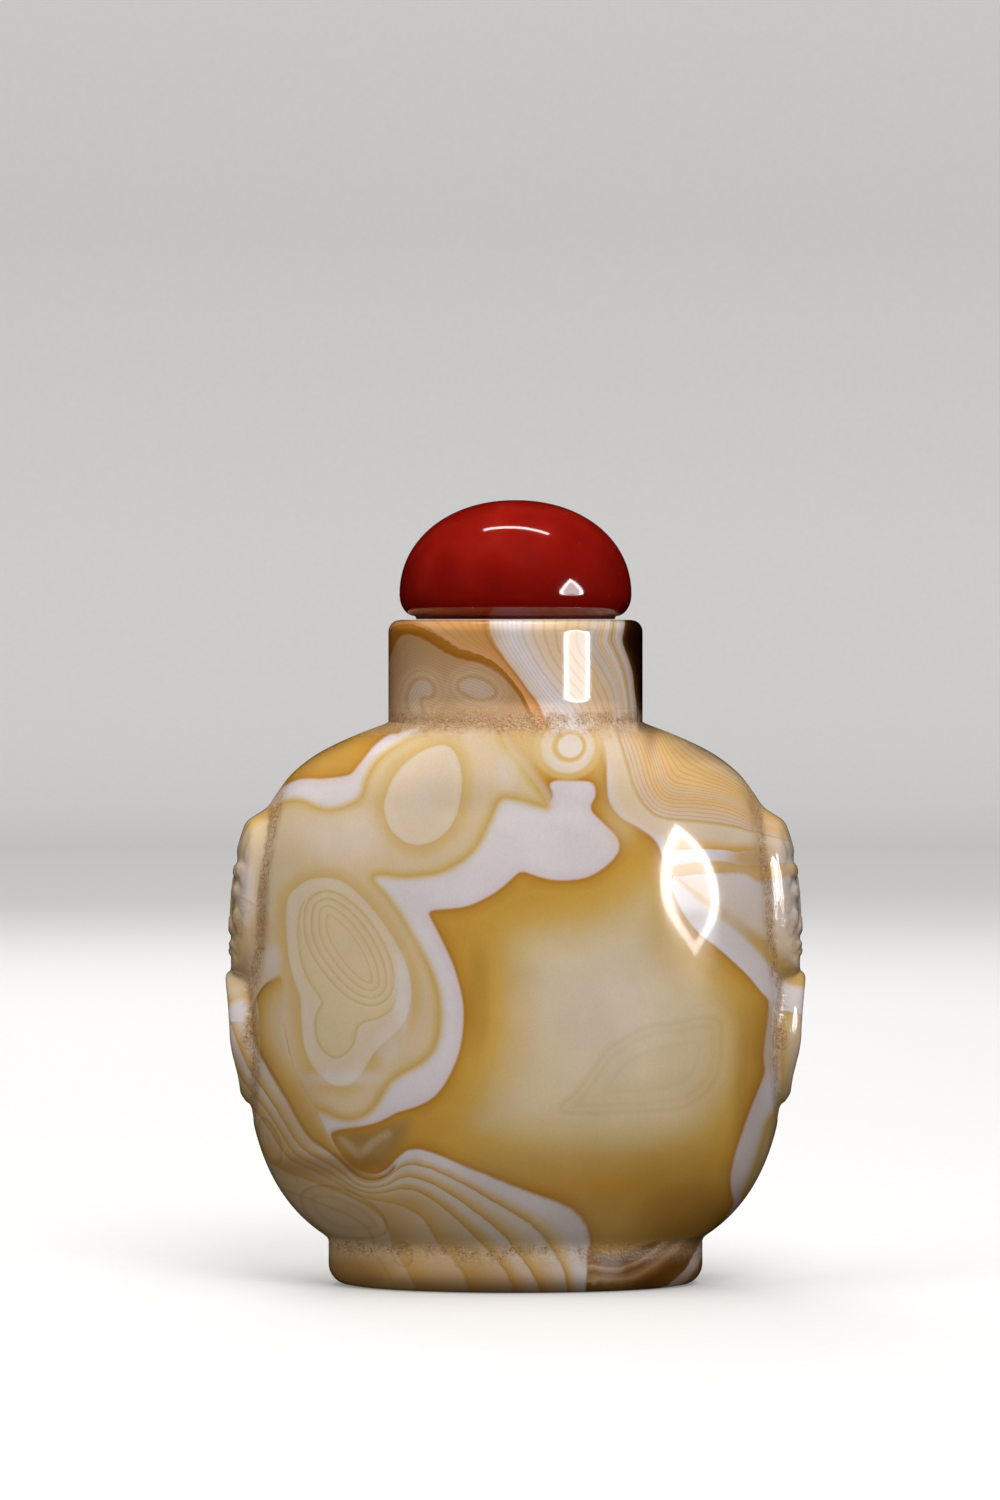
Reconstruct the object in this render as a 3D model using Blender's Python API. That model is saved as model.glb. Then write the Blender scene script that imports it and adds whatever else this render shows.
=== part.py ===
"""A flattened agate snuff bottle on an oval foot, hollowed through a narrow mouth.

A lion mask with a ring in its mouth is carved on each narrow side. A domed red stopper sits on
the neck, and its cork fills the mouth. The bottle stands on z = 0, its broad faces look along
-Y and +Y, and its masks look along -X and +X. Lengths are in metres.
"""

import math

import bmesh
import bpy

MM = 0.001

# Body, measured over the plain stone and not over the masks.
BODY_WIDTH = 45.6 * MM
BODY_DEPTH = 28.5 * MM
BELLY_HEIGHT = 26.6 * MM
SHOULDER_HEIGHT = 46.5 * MM
SHOULDER_POWER = 3.15
SHOULDER_POWER_IN_DEPTH = 3.6
LOWER_POWER = 3.25
LOWER_POWER_IN_DEPTH = 2.7

# Neck, a plain turned cylinder that runs into the shoulder through a small cove.
NECK_DIAMETER = 21.25 * MM
NECK_LENGTH = 9.05 * MM
NECK_COVE = 5.0 * MM
RIM_ROUNDING = 1.0 * MM

# Foot, an oval ring with a shallow recess inside it.
FOOT_WIDTH = 31.3 * MM
FOOT_DEPTH = 19.6 * MM
FOOT_HEIGHT = 3.9 * MM
FOOT_COVE = 0.5 * MM
FOOT_ROUNDING = 1.7 * MM
FOOT_RING = 2.4 * MM
FOOT_RECESS = 0.7 * MM

# Hollow inside.
MOUTH_DIAMETER = 7.6 * MM
MOUTH_EASE = 0.4 * MM
WALL_AT_SIDES = 4.2 * MM
WALL_AT_FACES = 3.1 * MM
FLOOR_THICKNESS = 4.6 * MM
SHOULDER_THICKNESS = 3.6 * MM
HOLLOW_POWER = 2.5
HOLLOW_COVE = 3.0 * MM

# Stopper cap, a dome over a softly rounded lower edge.
CAP_DIAMETER = 19.4 * MM
CAP_HEIGHT = 9.7 * MM
CAP_GIRDLE = 1.8 * MM
CAP_EDGE = 1.3 * MM
CAP_CROWN = 0.5 * MM
CAP_POWER = 2.1

# Cork, and the gaps between the pieces that rest on or in one another.
CORK_LENGTH = 6.4 * MM
CORK_TAPER = 0.25 * MM
CORK_CHAMFER = 0.4 * MM
REST_GAP = 0.3 * MM
CORK_GAP = 0.3 * MM

# Mask, a domed pad. Heights are from the belly, and half widths run across the narrow side.
MASK_RISE = 5.9 * MM
MASK_HALF_WIDTH = 4.7 * MM
MASK_HALF_HEIGHT = 7.5 * MM
MASK_POWER = 2.9
MASK_STEP = 0.5 * MM
MASK_DOME = 0.5 * MM
MASK_EDGE = 0.8 * MM

# Ring that hangs from the mask's mouth, measured along its own middle line.
MOUTH_ABOVE_CHIN = 0.6 * MM
RING_HALF_WIDTH = 2.55 * MM
RING_HALF_HEIGHT = 4.7 * MM
RING_THICKNESS = 2.4 * MM
RING_HEIGHT_AT_MASK = 1.45 * MM
RING_HEIGHT_AT_FOOT = 0.65 * MM
RING_POWER = 2.5

# Face on the mask. Each place and half size is a share of the mask's own half width or half
# height: (across, above the middle, half width, half height, relief).
FACE_FEATURES = {
    "forehead": (0.0, 0.65, 0.57, 0.2, 0.35 * MM),
    "ear": (0.7, 0.52, 0.13, 0.12, 0.4 * MM),
    "brow": (0.37, 0.29, 0.36, 0.08, 0.4 * MM),
    "brow curl": (0.71, 0.23, 0.14, 0.1, 0.4 * MM),
    "eye": (0.37, 0.05, 0.2, 0.1, 0.42 * MM),
    "bridge": (0.0, -0.01, 0.1, 0.27, 0.25 * MM),
    "nose": (0.0, -0.32, 0.23, 0.11, 0.38 * MM),
    "nostril": (0.21, -0.35, 0.14, 0.075, 0.38 * MM),
    "cheek": (0.52, -0.23, 0.16, 0.1, 0.35 * MM),
    "lip": (0.29, -0.58, 0.32, 0.087, 0.38 * MM),
}
FEATURE_CORE = 0.6
FEATURE_SKIRT = 1.3
CURLS_A_SIDE = 4
FIRST_CURL_TURN = 96.0
LAST_CURL_TURN = 146.0
CURL_RADIUS = 0.8 * MM
CURL_RELIEF = 0.4 * MM
CURL_INSET = 0.9 * MM

# How finely the skins are faceted.
SIDE_STEPS = 20
SIDE_SPAN = 21.5
FACE_STEPS = 9
LOWER_ROWS = 7
RING_ROWS = 15
MASK_ROWS = 27
SHOULDER_ROWS = 8
STRAIGHT_ROWS = 2
EDGE_ROWS = 3
OUTLINE_SAMPLES = 400
HOLLOW_STEPS = 24
HOLLOW_ROWS = 13
CAP_STEPS = 36
CAP_ROWS = 10
CORK_STEPS = 24

# Colour and roughness of each material.
AGATE = ((0.62, 0.45, 0.2), 0.12)
CARNELIAN = ((0.32, 0.02, 0.012), 0.08)
CORK = ((0.45, 0.3, 0.17), 0.85)
SHARP_ANGLE = 40.0

RIM_HEIGHT = SHOULDER_HEIGHT + NECK_LENGTH
MASK_MIDDLE = BELLY_HEIGHT + MASK_RISE
MASK_TOP = MASK_MIDDLE + MASK_HALF_HEIGHT
MASK_CHIN = MASK_MIDDLE - MASK_HALF_HEIGHT
RING_MIDDLE = MASK_CHIN + MOUTH_ABOVE_CHIN - RING_HALF_HEIGHT
RING_FOOT = RING_MIDDLE - RING_HALF_HEIGHT - RING_THICKNESS / 2.0


def rounded(share, power):
    """The half width of a superellipse of half width 1 at a share of its half height."""
    return max(0.0, 1.0 - min(1.0, abs(share)) ** power) ** (1.0 / power)


def joined(first, second, cove):
    """The larger of two sizes, with a cove where they are nearly equal."""
    near = max(cove - abs(first - second), 0.0) / cove
    return max(first, second) + near * near * cove / 4.0


def eased(share):
    """A step from 0 to 1 with soft ends."""
    share = min(1.0, max(0.0, share))
    return share * share * (3.0 - 2.0 * share)


def clear_scene():
    """Leave nothing of the startup scene."""
    for thing in list(bpy.data.objects):
        bpy.data.objects.remove(thing, do_unlink=True)


def body_half(height, widest, neck, foot, power_above, power_below):
    """Half of the plain body's width or depth, which meets the neck and the foot where it should."""
    if height >= BELLY_HEIGHT:
        rise = (SHOULDER_HEIGHT - BELLY_HEIGHT) / rounded(neck / widest, power_above)
        return widest / 2.0 * rounded((height - BELLY_HEIGHT) / rise, power_above)
    fall = (BELLY_HEIGHT - FOOT_HEIGHT) / rounded(foot / widest, power_below)
    return widest / 2.0 * rounded((BELLY_HEIGHT - height) / fall, power_below)


def neck_half(height):
    """The neck's radius, rounded over at the rim."""
    over = max(0.0, height - (RIM_HEIGHT - RIM_ROUNDING))
    return NECK_DIAMETER / 2.0 - RIM_ROUNDING + math.sqrt(max(0.0, RIM_ROUNDING**2 - over**2))


def foot_half(height, size):
    """Half of the foot's width or depth, rounded under at the table."""
    under = max(0.0, FOOT_ROUNDING - height)
    return size / 2.0 - FOOT_ROUNDING + math.sqrt(max(0.0, FOOT_ROUNDING**2 - under**2))


def skin_half_sizes(height):
    """The outer skin's half width and half depth at a height, without the carving."""
    width = body_half(
        height, BODY_WIDTH, NECK_DIAMETER, FOOT_WIDTH, SHOULDER_POWER, LOWER_POWER
    )
    depth = body_half(
        height, BODY_DEPTH, NECK_DIAMETER, FOOT_DEPTH, SHOULDER_POWER_IN_DEPTH, LOWER_POWER_IN_DEPTH
    )
    if height >= BELLY_HEIGHT:
        neck = neck_half(height) - max(0.0, SHOULDER_HEIGHT - NECK_COVE - height)
        return joined(width, neck, NECK_COVE), joined(depth, neck, NECK_COVE)
    return (
        joined(width, foot_half(height, FOOT_WIDTH), FOOT_COVE),
        joined(depth, foot_half(height, FOOT_DEPTH), FOOT_COVE),
    )


def oval_distance(across, above, half_width, half_height):
    """The distance of a point outside an oval's line, less than 0 inside it."""
    near = math.hypot(across / half_width, above / half_height)
    slope = math.hypot(across / half_width**2, above / half_height**2)
    return near * (near - 1.0) / slope if slope else -min(half_width, half_height)


def bump(across, above, half_width, half_height, relief):
    """A swelling with a level core and a soft skirt round an oval line."""
    near = math.hypot(across / half_width, above / half_height)
    return relief * eased((FEATURE_SKIRT - near) / (FEATURE_SKIRT - FEATURE_CORE))


def curl_places():
    """Where the mane's curls lie on one half of the mask, from beside its eye down to its chin."""
    for index in range(CURLS_A_SIDE):
        share = index / (CURLS_A_SIDE - 1)
        turn = math.radians(FIRST_CURL_TURN + (LAST_CURL_TURN - FIRST_CURL_TURN) * share)
        yield (
            (MASK_HALF_WIDTH - CURL_INSET) * math.sin(turn),
            (MASK_HALF_HEIGHT - CURL_INSET) * math.cos(turn),
        )


def mask_relief(across, above):
    """How far the mask stands out of the body, at a place measured from the mask's middle."""
    place = (abs(across) / MASK_HALF_WIDTH) ** MASK_POWER
    place += (abs(above) / MASK_HALF_HEIGHT) ** MASK_POWER
    inside = (1.0 - place ** (1.0 / MASK_POWER)) * MASK_HALF_WIDTH
    if inside <= 0.0:
        return 0.0
    dome = MASK_DOME * (1.0 - (across / MASK_HALF_WIDTH) ** 2)
    beside, over = abs(across) / MASK_HALF_WIDTH, above / MASK_HALF_HEIGHT
    face = 0.0
    for side, rise, half_width, half_height, relief in FACE_FEATURES.values():
        face = max(face, bump(beside - side, over - rise, half_width, half_height, relief))
    for side, rise in curl_places():
        curl = bump(abs(across) - side, above - rise, CURL_RADIUS, CURL_RADIUS, CURL_RELIEF)
        face = max(face, curl)
    return eased(inside / MASK_EDGE) * (MASK_STEP + dome + face)


def ring_relief(across, above):
    """How far the ring stands out of the body, at a place measured from the ring's middle."""
    off = abs(oval_distance(across, above, RING_HALF_WIDTH, RING_HALF_HEIGHT))
    share = eased(1.0 + above / RING_HALF_HEIGHT)
    height = RING_HEIGHT_AT_FOOT + (RING_HEIGHT_AT_MASK - RING_HEIGHT_AT_FOOT) * share
    return height * (1.0 - min(1.0, off / (RING_THICKNESS / 2.0)) ** RING_POWER)


def carving(across, height):
    """The whole relief on a narrow side."""
    return max(
        mask_relief(across, height - MASK_MIDDLE),
        ring_relief(across, height - RING_MIDDLE),
    )


def skin_turns():
    """The angles of the outer skin's corners, close together on the narrow sides."""
    turns = []
    for middle in (0.0, 180.0):
        for index in range(SIDE_STEPS):
            turns.append(middle - SIDE_SPAN + 2.0 * SIDE_SPAN * index / SIDE_STEPS)
        for index in range(FACE_STEPS):
            turns.append(middle + SIDE_SPAN + (180.0 - 2.0 * SIDE_SPAN) * index / FACE_STEPS)
    return [math.radians(turn) for turn in turns]


def skin_ring(height, turns):
    """The outer skin's points at a height, with the carving."""
    half_width, half_depth = skin_half_sizes(height)
    ring = []
    for turn in turns:
        x, y = half_width * math.cos(turn), half_depth * math.sin(turn)
        out_x, out_y = math.cos(turn) / half_width, math.sin(turn) / half_depth
        length = math.hypot(out_x, out_y)
        proud = carving(y, height)
        ring.append((x + proud * out_x / length, y + proud * out_y / length, height))
    return ring


def oval_ring(half_width, half_depth, height, turns):
    """The points of a plain oval at a height."""
    return [(half_width * math.cos(t), half_depth * math.sin(t), height) for t in turns]


def even_turns(steps):
    """Equal angles right round."""
    return [2.0 * math.pi * index / steps for index in range(steps)]


def arc_from(low, high, steps):
    """Heights from low, stopping before high, that crowd towards low as round a quarter circle."""
    return [low + (high - low) * (1.0 - math.cos(math.pi / 2.0 * i / steps)) for i in range(steps)]


def arc_to(low, high, steps):
    """Heights from low, stopping before high, that crowd towards high as round a quarter circle."""
    return [low + (high - low) * math.sin(math.pi / 2.0 * i / steps) for i in range(steps)]


def even_levels(low, high, steps):
    """Equally spaced heights from low, stopping before high."""
    return [low + (high - low) * index / steps for index in range(steps)]


def outline_levels(low, high, steps):
    """Heights from low, stopping before high, that lie equally far apart along the skin's outline."""
    heights = even_levels(low, high, OUTLINE_SAMPLES) + [high]
    walked = [0.0]
    for below, above in zip(heights, heights[1:]):
        widen = skin_half_sizes(above)[0] - skin_half_sizes(below)[0]
        walked.append(walked[-1] + math.hypot(widen, above - below))
    levels = []
    at = 0
    for index in range(steps):
        wanted = walked[-1] * index / steps
        while walked[at + 1] < wanted:
            at += 1
        share = (wanted - walked[at]) / (walked[at + 1] - walked[at])
        levels.append(heights[at] + share * (heights[at + 1] - heights[at]))
    return levels


def skin_levels():
    """The heights of the outer skin's rings, from the table to the rim."""
    cove_top = SHOULDER_HEIGHT + NECK_COVE / 4.0
    levels = arc_from(0.0, FOOT_ROUNDING, EDGE_ROWS)
    levels += even_levels(FOOT_ROUNDING, FOOT_HEIGHT, STRAIGHT_ROWS)
    levels += outline_levels(FOOT_HEIGHT, RING_FOOT, LOWER_ROWS)
    levels += even_levels(RING_FOOT, MASK_CHIN, RING_ROWS)
    levels += even_levels(MASK_CHIN, MASK_TOP, MASK_ROWS)
    levels += outline_levels(MASK_TOP, cove_top, SHOULDER_ROWS)
    levels += even_levels(cove_top, RIM_HEIGHT - RIM_ROUNDING, STRAIGHT_ROWS)
    levels += arc_to(RIM_HEIGHT - RIM_ROUNDING, RIM_HEIGHT, EDGE_ROWS)
    return levels + [RIM_HEIGHT]


def lofted(name, rings):
    """A closed object skinned over rings of points, with a flat face at each end."""
    mesh_maker = bmesh.new()
    loops = [[mesh_maker.verts.new(point) for point in ring] for ring in rings]
    for lower, upper in zip(loops, loops[1:]):
        for index in range(len(lower)):
            after = (index + 1) % len(lower)
            mesh_maker.faces.new((lower[index], lower[after], upper[after], upper[index]))
    mesh_maker.faces.new(reversed(loops[0]))
    mesh_maker.faces.new(loops[-1])
    bmesh.ops.recalc_face_normals(mesh_maker, faces=mesh_maker.faces)
    mesh = bpy.data.meshes.new(name)
    mesh_maker.to_mesh(mesh)
    mesh_maker.free()
    made = bpy.data.objects.new(name, mesh)
    bpy.context.scene.collection.objects.link(made)
    return made


def make_hollow():
    """The cutter for the bottle's inside: a rounded chamber that narrows into the mouth."""
    low = FLOOR_THICKNESS
    high = SHOULDER_HEIGHT - SHOULDER_THICKNESS
    middle, half_height = (low + high) / 2.0, (high - low) / 2.0
    half_width = BODY_WIDTH / 2.0 - WALL_AT_SIDES
    half_depth = BODY_DEPTH / 2.0 - WALL_AT_FACES
    turns = even_turns(HOLLOW_STEPS)
    rings = []
    for index in range(1, HOLLOW_ROWS + 1):
        turn = math.pi * index / HOLLOW_ROWS
        height = middle - half_height * math.cos(turn)
        size = rounded(math.cos(turn), HOLLOW_POWER)
        wide, deep = half_width * size, half_depth * size
        if height > middle:
            wide = joined(wide, MOUTH_DIAMETER / 2.0, HOLLOW_COVE)
            deep = joined(deep, MOUTH_DIAMETER / 2.0, HOLLOW_COVE)
        rings.append(oval_ring(wide, deep, height, turns))
    mouth = MOUTH_DIAMETER / 2.0
    above = RIM_HEIGHT + MOUTH_EASE
    rings.append(oval_ring(mouth, mouth, RIM_HEIGHT - MOUTH_EASE, turns))
    rings.append(oval_ring(mouth + 2.0 * MOUTH_EASE, mouth + 2.0 * MOUTH_EASE, above, turns))
    cutter = lofted("hollow_cutter", rings)
    cutter.hide_render = True
    cutter.display_type = "WIRE"
    return cutter


def make_bottle():
    """The bottle: foot, body, neck and both masks in one stone, cut hollow."""
    turns = skin_turns()
    inner = FOOT_ROUNDING + FOOT_RING
    slope = inner + FOOT_RECESS / 2.0
    half_width, half_depth = FOOT_WIDTH / 2.0, FOOT_DEPTH / 2.0
    rings = [
        oval_ring(half_width - slope, half_depth - slope, FOOT_RECESS, turns),
        oval_ring(half_width - inner, half_depth - inner, 0.0, turns),
    ]
    rings += [skin_ring(height, turns) for height in skin_levels()]
    bottle = lofted("bottle", rings)
    cut = bottle.modifiers.new("hollow", "BOOLEAN")
    cut.operation = "DIFFERENCE"
    cut.solver = "EXACT"
    cut.object = make_hollow()
    return bottle


def make_cap():
    """The stopper's dome, flat underneath, with a rounded lower edge."""
    base = RIM_HEIGHT + REST_GAP
    radius = CAP_DIAMETER / 2.0
    turns = even_turns(CAP_STEPS)
    rings = []
    for index in range(EDGE_ROWS):
        turn = math.pi / 2.0 * index / EDGE_ROWS
        size = radius - CAP_EDGE * (1.0 - math.sin(turn))
        rings.append(oval_ring(size, size, base + CAP_GIRDLE * (1.0 - math.cos(turn)), turns))
    for index in range(CAP_ROWS):
        turn = math.pi / 2.0 * index / CAP_ROWS
        size = radius * math.cos(turn) ** (2.0 / CAP_POWER)
        rise = (CAP_HEIGHT - CAP_GIRDLE) * math.sin(turn) ** (2.0 / CAP_POWER)
        rings.append(oval_ring(size, size, base + CAP_GIRDLE + rise, turns))
    rings.append(oval_ring(CAP_CROWN, CAP_CROWN, base + CAP_HEIGHT, turns))
    return lofted("stopper_cap", rings)


def make_cork():
    """The tapered cork that fills the mouth under the cap."""
    radius = MOUTH_DIAMETER / 2.0 - CORK_GAP
    turns = even_turns(CORK_STEPS)
    end = radius - CORK_TAPER
    sizes = (
        (end - CORK_CHAMFER, RIM_HEIGHT - CORK_LENGTH),
        (end, RIM_HEIGHT - CORK_LENGTH + CORK_CHAMFER),
        (radius, RIM_HEIGHT),
    )
    return lofted("stopper_cork", [oval_ring(r, r, height, turns) for r, height in sizes])


def finish(thing, surface):
    """Give a piece its material and smooth shading."""
    colour, roughness = surface
    material = bpy.data.materials.new(thing.name)
    material.use_nodes = True
    shader = material.node_tree.nodes["Principled BSDF"]
    shader.inputs["Base Color"].default_value = (*colour, 1.0)
    shader.inputs["Roughness"].default_value = roughness
    shader.inputs["Metallic"].default_value = 0.0
    material.diffuse_color = (*colour, 1.0)
    thing.data.materials.append(material)
    thing.data.shade_smooth()
    thing.data.set_sharp_from_angle(angle=math.radians(SHARP_ANGLE))


def main():
    clear_scene()
    finish(make_bottle(), AGATE)
    finish(make_cap(), CARNELIAN)
    finish(make_cork(), CORK)


main()
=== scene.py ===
"""Looks of the agate snuff bottle: its banded stone, mask and ring reliefs, red stopper and cork.

The bottle stands on z = 0 with its broad faces towards -Y and +Y. Lengths are in metres, apart
from the band drawing, which is laid out in points of the front view (see VIEW_POINTS).
"""

import math

import bmesh
import bpy
import numpy as np
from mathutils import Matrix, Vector


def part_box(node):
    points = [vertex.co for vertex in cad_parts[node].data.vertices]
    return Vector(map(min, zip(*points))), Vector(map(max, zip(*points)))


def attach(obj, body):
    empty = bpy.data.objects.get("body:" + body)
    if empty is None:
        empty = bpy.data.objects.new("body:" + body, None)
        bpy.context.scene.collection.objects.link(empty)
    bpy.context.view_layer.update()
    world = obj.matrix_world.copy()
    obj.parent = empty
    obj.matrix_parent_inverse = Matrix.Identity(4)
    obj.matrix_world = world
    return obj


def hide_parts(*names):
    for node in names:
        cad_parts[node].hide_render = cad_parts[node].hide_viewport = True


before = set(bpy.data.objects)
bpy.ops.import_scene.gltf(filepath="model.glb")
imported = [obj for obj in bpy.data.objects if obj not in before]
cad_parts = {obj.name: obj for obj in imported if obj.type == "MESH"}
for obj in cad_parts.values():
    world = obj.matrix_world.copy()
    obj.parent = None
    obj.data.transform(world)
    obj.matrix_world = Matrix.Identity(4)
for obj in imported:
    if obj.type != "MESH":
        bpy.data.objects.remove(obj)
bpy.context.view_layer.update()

bl_info = {
    "name": "Agate Snuff Bottle",
    "version": (1, 0, 0),
    "blender": (4, 5, 0),
    "location": "3D View > Sidebar > Snuff Bottle",
    "description": "Dresses the agate snuff bottle, its red stopper and its cork",
    "category": "Object",
}

MM = 0.001

# Outside of the stone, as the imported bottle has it.
BODY_WIDTH = 45.6 * MM
BODY_DEPTH = 28.5 * MM
BELLY_HEIGHT = 26.6 * MM
SHOULDER_HEIGHT = 46.5 * MM
SHOULDER_POWER = 3.15
SHOULDER_POWER_IN_DEPTH = 3.6
LOWER_POWER = 3.25
LOWER_POWER_IN_DEPTH = 2.7
NECK_DIAMETER = 21.25 * MM
NECK_COVE = 5.0 * MM
COVE_EASE = 3.0 * MM
RIM_HEIGHT = 55.55 * MM
RIM_ROUNDING = 1.0 * MM
FOOT_WIDTH = 31.3 * MM
FOOT_DEPTH = 19.6 * MM
FOOT_HEIGHT = 3.9 * MM
FOOT_COVE = 0.5 * MM
FOOT_ROUNDING = 1.7 * MM
FOOT_RING = 2.4 * MM
FOOT_RECESS = 0.7 * MM

# Where the loops' spacing changes: under the ring, under and over the mask, at the neck's root.
RING_LOW = 15.0 * MM
MASK_LOW = 25.0 * MM
MASK_HIGH = 40.0 * MM
NECK_LOW = 47.4 * MM

# Hollow inside.
MOUTH_RADIUS = 3.8 * MM
MOUTH_EASE = 0.4 * MM
HOLLOW_FLOOR = 4.6 * MM
HOLLOW_TOP = 42.9 * MM
HOLLOW_HALF_WIDTH = 18.6 * MM
HOLLOW_HALF_DEPTH = 11.15 * MM
HOLLOW_POWER = 2.5

# Red stopper: the height where it is widest, how far its lower edge draws in, the power of its
# dome's curve, and how wide a step its seat has and how far that reaches into the gap over the rim.
CAP_GIRDLE = 1.8 * MM
CAP_EDGE = 1.3 * MM
CAP_POWER = 2.1
SEAT_EDGE = 0.12 * MM
SEAT_DROP = 0.25 * MM

# Cork: how much narrower its lower end is, the rounding there and the bevel at its top.
CORK_TAPER = 0.25 * MM
CORK_ROUNDING = 0.4 * MM
CORK_BEVEL = 0.08 * MM

# Mask and ring on each narrow side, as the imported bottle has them.
MASK_MIDDLE = 32.5 * MM
MASK_HALF_WIDTH = 4.7 * MM
MASK_HALF_HEIGHT = 7.5 * MM
MASK_POWER = 2.9
MASK_STEP = 0.5 * MM
MASK_DOME = 0.5 * MM
MASK_EDGE = 0.8 * MM
RING_MIDDLE = 20.9 * MM
RING_HALF_WIDTH = 2.55 * MM
RING_HALF_HEIGHT = 4.7 * MM
RING_THICKNESS = 2.4 * MM
RING_HEIGHT_AT_MASK = 1.45 * MM
RING_HEIGHT_AT_FOOT = 0.65 * MM
RING_POWER = 2.5

# The face, in shares of the mask's half width and half height: (across, up, half width, half
# height, relief). It is a lion's and nobody's.
FACE_FEATURES = (
    (0.0, 0.65, 0.57, 0.2, 0.35 * MM),
    (0.7, 0.52, 0.13, 0.12, 0.4 * MM),
    (0.37, 0.29, 0.36, 0.08, 0.4 * MM),
    (0.71, 0.23, 0.14, 0.1, 0.4 * MM),
    (0.37, 0.05, 0.2, 0.1, 0.42 * MM),
    (0.0, -0.01, 0.1, 0.27, 0.25 * MM),
    (0.0, -0.32, 0.23, 0.11, 0.38 * MM),
    (0.21, -0.35, 0.14, 0.075, 0.38 * MM),
    (0.52, -0.23, 0.16, 0.1, 0.35 * MM),
    (0.29, -0.58, 0.32, 0.087, 0.38 * MM),
)
# Where a feature's level core and its skirt end, how much of the features and of the graver's
# lines is cut, and where and how softly the face ends towards the mask's sides.
FEATURE_CORE = 0.6
FEATURE_SKIRT = 1.3
FACE_SHARE = 0.62
LINE_SHARE = 0.75
FACE_REACH = 3.6 * MM
FACE_FADE = 1.4 * MM

# Curls of the mane, a graved line, and the deepest of the lines.
CURL_TURNS = (96.0, 112.7, 129.3, 146.0)
CURL_RADIUS = 0.8 * MM
CURL_INSET = 0.9 * MM
CURL_RELIEF = 0.24 * MM
CURL_PITCH = 0.62 * MM
CUT_WIDTH = 0.2 * MM
CUT_DEPTH = 0.13 * MM
DEEPEST_CUT = 0.16 * MM

# Dull ground sunk round the reliefs, and the middle and reach of the dirt at neck and foot.
GROUND_WIDTH = 1.7 * MM
GROUND_FADE = 0.9 * MM
GROUND_SINK = 0.1 * MM
DIRT_AT_NECK = (47.1 * MM, 1.9 * MM)
DIRT_AT_FOOT = (3.4 * MM, 1.5 * MM)

# How the front view sees the stone: the eye's distance and height, the lens's length in view
# points, the column of the bottle's axis, the row at the eye's height, and the view's size.
EYE_DISTANCE = 575 * MM
EYE_HEIGHT = 55.7 * MM
POINTS_AT_EYE = 6878.0
AXIS_POINT = 515.5
EYE_POINT = 618.0
VIEW_POINTS = (1000, 1500)

# Outlines of the bands on the front, drawn in view points (across, down).
# Amber field in the middle, crisp at its edge.
HONEY = (
    (429, 912), (445, 909), (463, 907), (480, 901), (496, 892), (508, 882), (518, 873), (526, 872),
    (540, 877), (555, 880), (572, 880), (588, 877), (602, 869), (613, 859), (619, 849), (617, 838),
    (609, 829), (600, 820), (592, 812), (591, 805), (595, 797), (595, 788), (590, 782), (570, 781),
    (556, 781), (550, 785), (553, 795), (550, 803), (544, 796), (535, 782), (524, 768), (512, 755),
    (504, 742), (500, 725), (500, 700), (625, 700), (615, 722), (606, 735), (607, 760), (607, 785),
    (610, 803), (622, 818), (640, 828), (655, 840), (661, 852), (666, 870), (673, 892), (681, 908),
    (692, 925), (703, 936), (716, 946), (730, 958), (745, 972), (758, 984), (769, 1000),
    (767, 1030), (764, 1055), (765, 1072), (759, 1090), (750, 1112), (742, 1135), (735, 1158),
    (731, 1178), (732, 1195), (732, 1210), (700, 1250), (650, 1300), (590, 1300), (588, 1262),
    (590, 1240), (584, 1222), (570, 1208), (548, 1199), (520, 1189), (490, 1177), (462, 1166),
    (440, 1156), (420, 1150), (408, 1151), (398, 1158), (388, 1169), (377, 1175), (364, 1174),
    (351, 1167), (340, 1155), (333, 1143), (331, 1133), (345, 1129), (360, 1127), (374, 1124),
    (386, 1119), (396, 1113), (410, 1109), (425, 1103), (436, 1095), (446, 1082), (454, 1066),
    (460, 1048), (463, 1025), (463, 1005), (459, 985), (452, 963), (443, 943), (434, 925),
)
# Orange patch on the left shoulder.
SHOULDER_PATCH = (
    (240, 830), (262, 806), (280, 790), (290, 783), (302, 779), (320, 779), (340, 777), (351, 774),
    (358, 766), (365, 757), (373, 747), (381, 740), (390, 734), (402, 730), (402, 690), (300, 700),
    (220, 780),
)
# Middles of the small double ring's inner and outer circles on the shoulder, and how far out the
# one gives way to the other.
DOUBLE_RING = ((572.0, 745.5), (567.0, 747.0))
DOUBLE_RING_REACH = 30.0
# Beige field inside the golden line on the left, and the one at the right edge.
BEIGE_LEFT = (
    (200, 850), (240, 830), (262, 816), (272, 811), (282, 804), (292, 801), (302, 802), (312, 806),
    (323, 810), (336, 810), (350, 805), (359, 800), (364, 792), (367, 780), (373, 768), (382, 757),
    (395, 748), (410, 740), (428, 732), (440, 700), (497, 700), (500, 728), (503, 742), (511, 755),
    (522, 768), (533, 782), (542, 795), (547, 806), (540, 805), (525, 800), (510, 797), (502, 797),
    (496, 804), (491, 816), (484, 831), (478, 843), (468, 855), (455, 864), (440, 871), (420, 875),
    (400, 876), (385, 874), (375, 875), (372, 880), (379, 889), (388, 900), (398, 914), (408, 931),
    (418, 948), (427, 965), (434, 982), (438, 999), (439, 1018), (437, 1037), (430, 1053),
    (418, 1064), (403, 1072), (391, 1080), (383, 1091), (375, 1104), (365, 1114), (351, 1119),
    (336, 1117), (326, 1112), (316, 1108), (302, 1102), (286, 1084), (272, 1066), (260, 1050),
    (255, 1035), (252, 1018), (252, 1002), (240, 996), (200, 1000),
)
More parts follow.
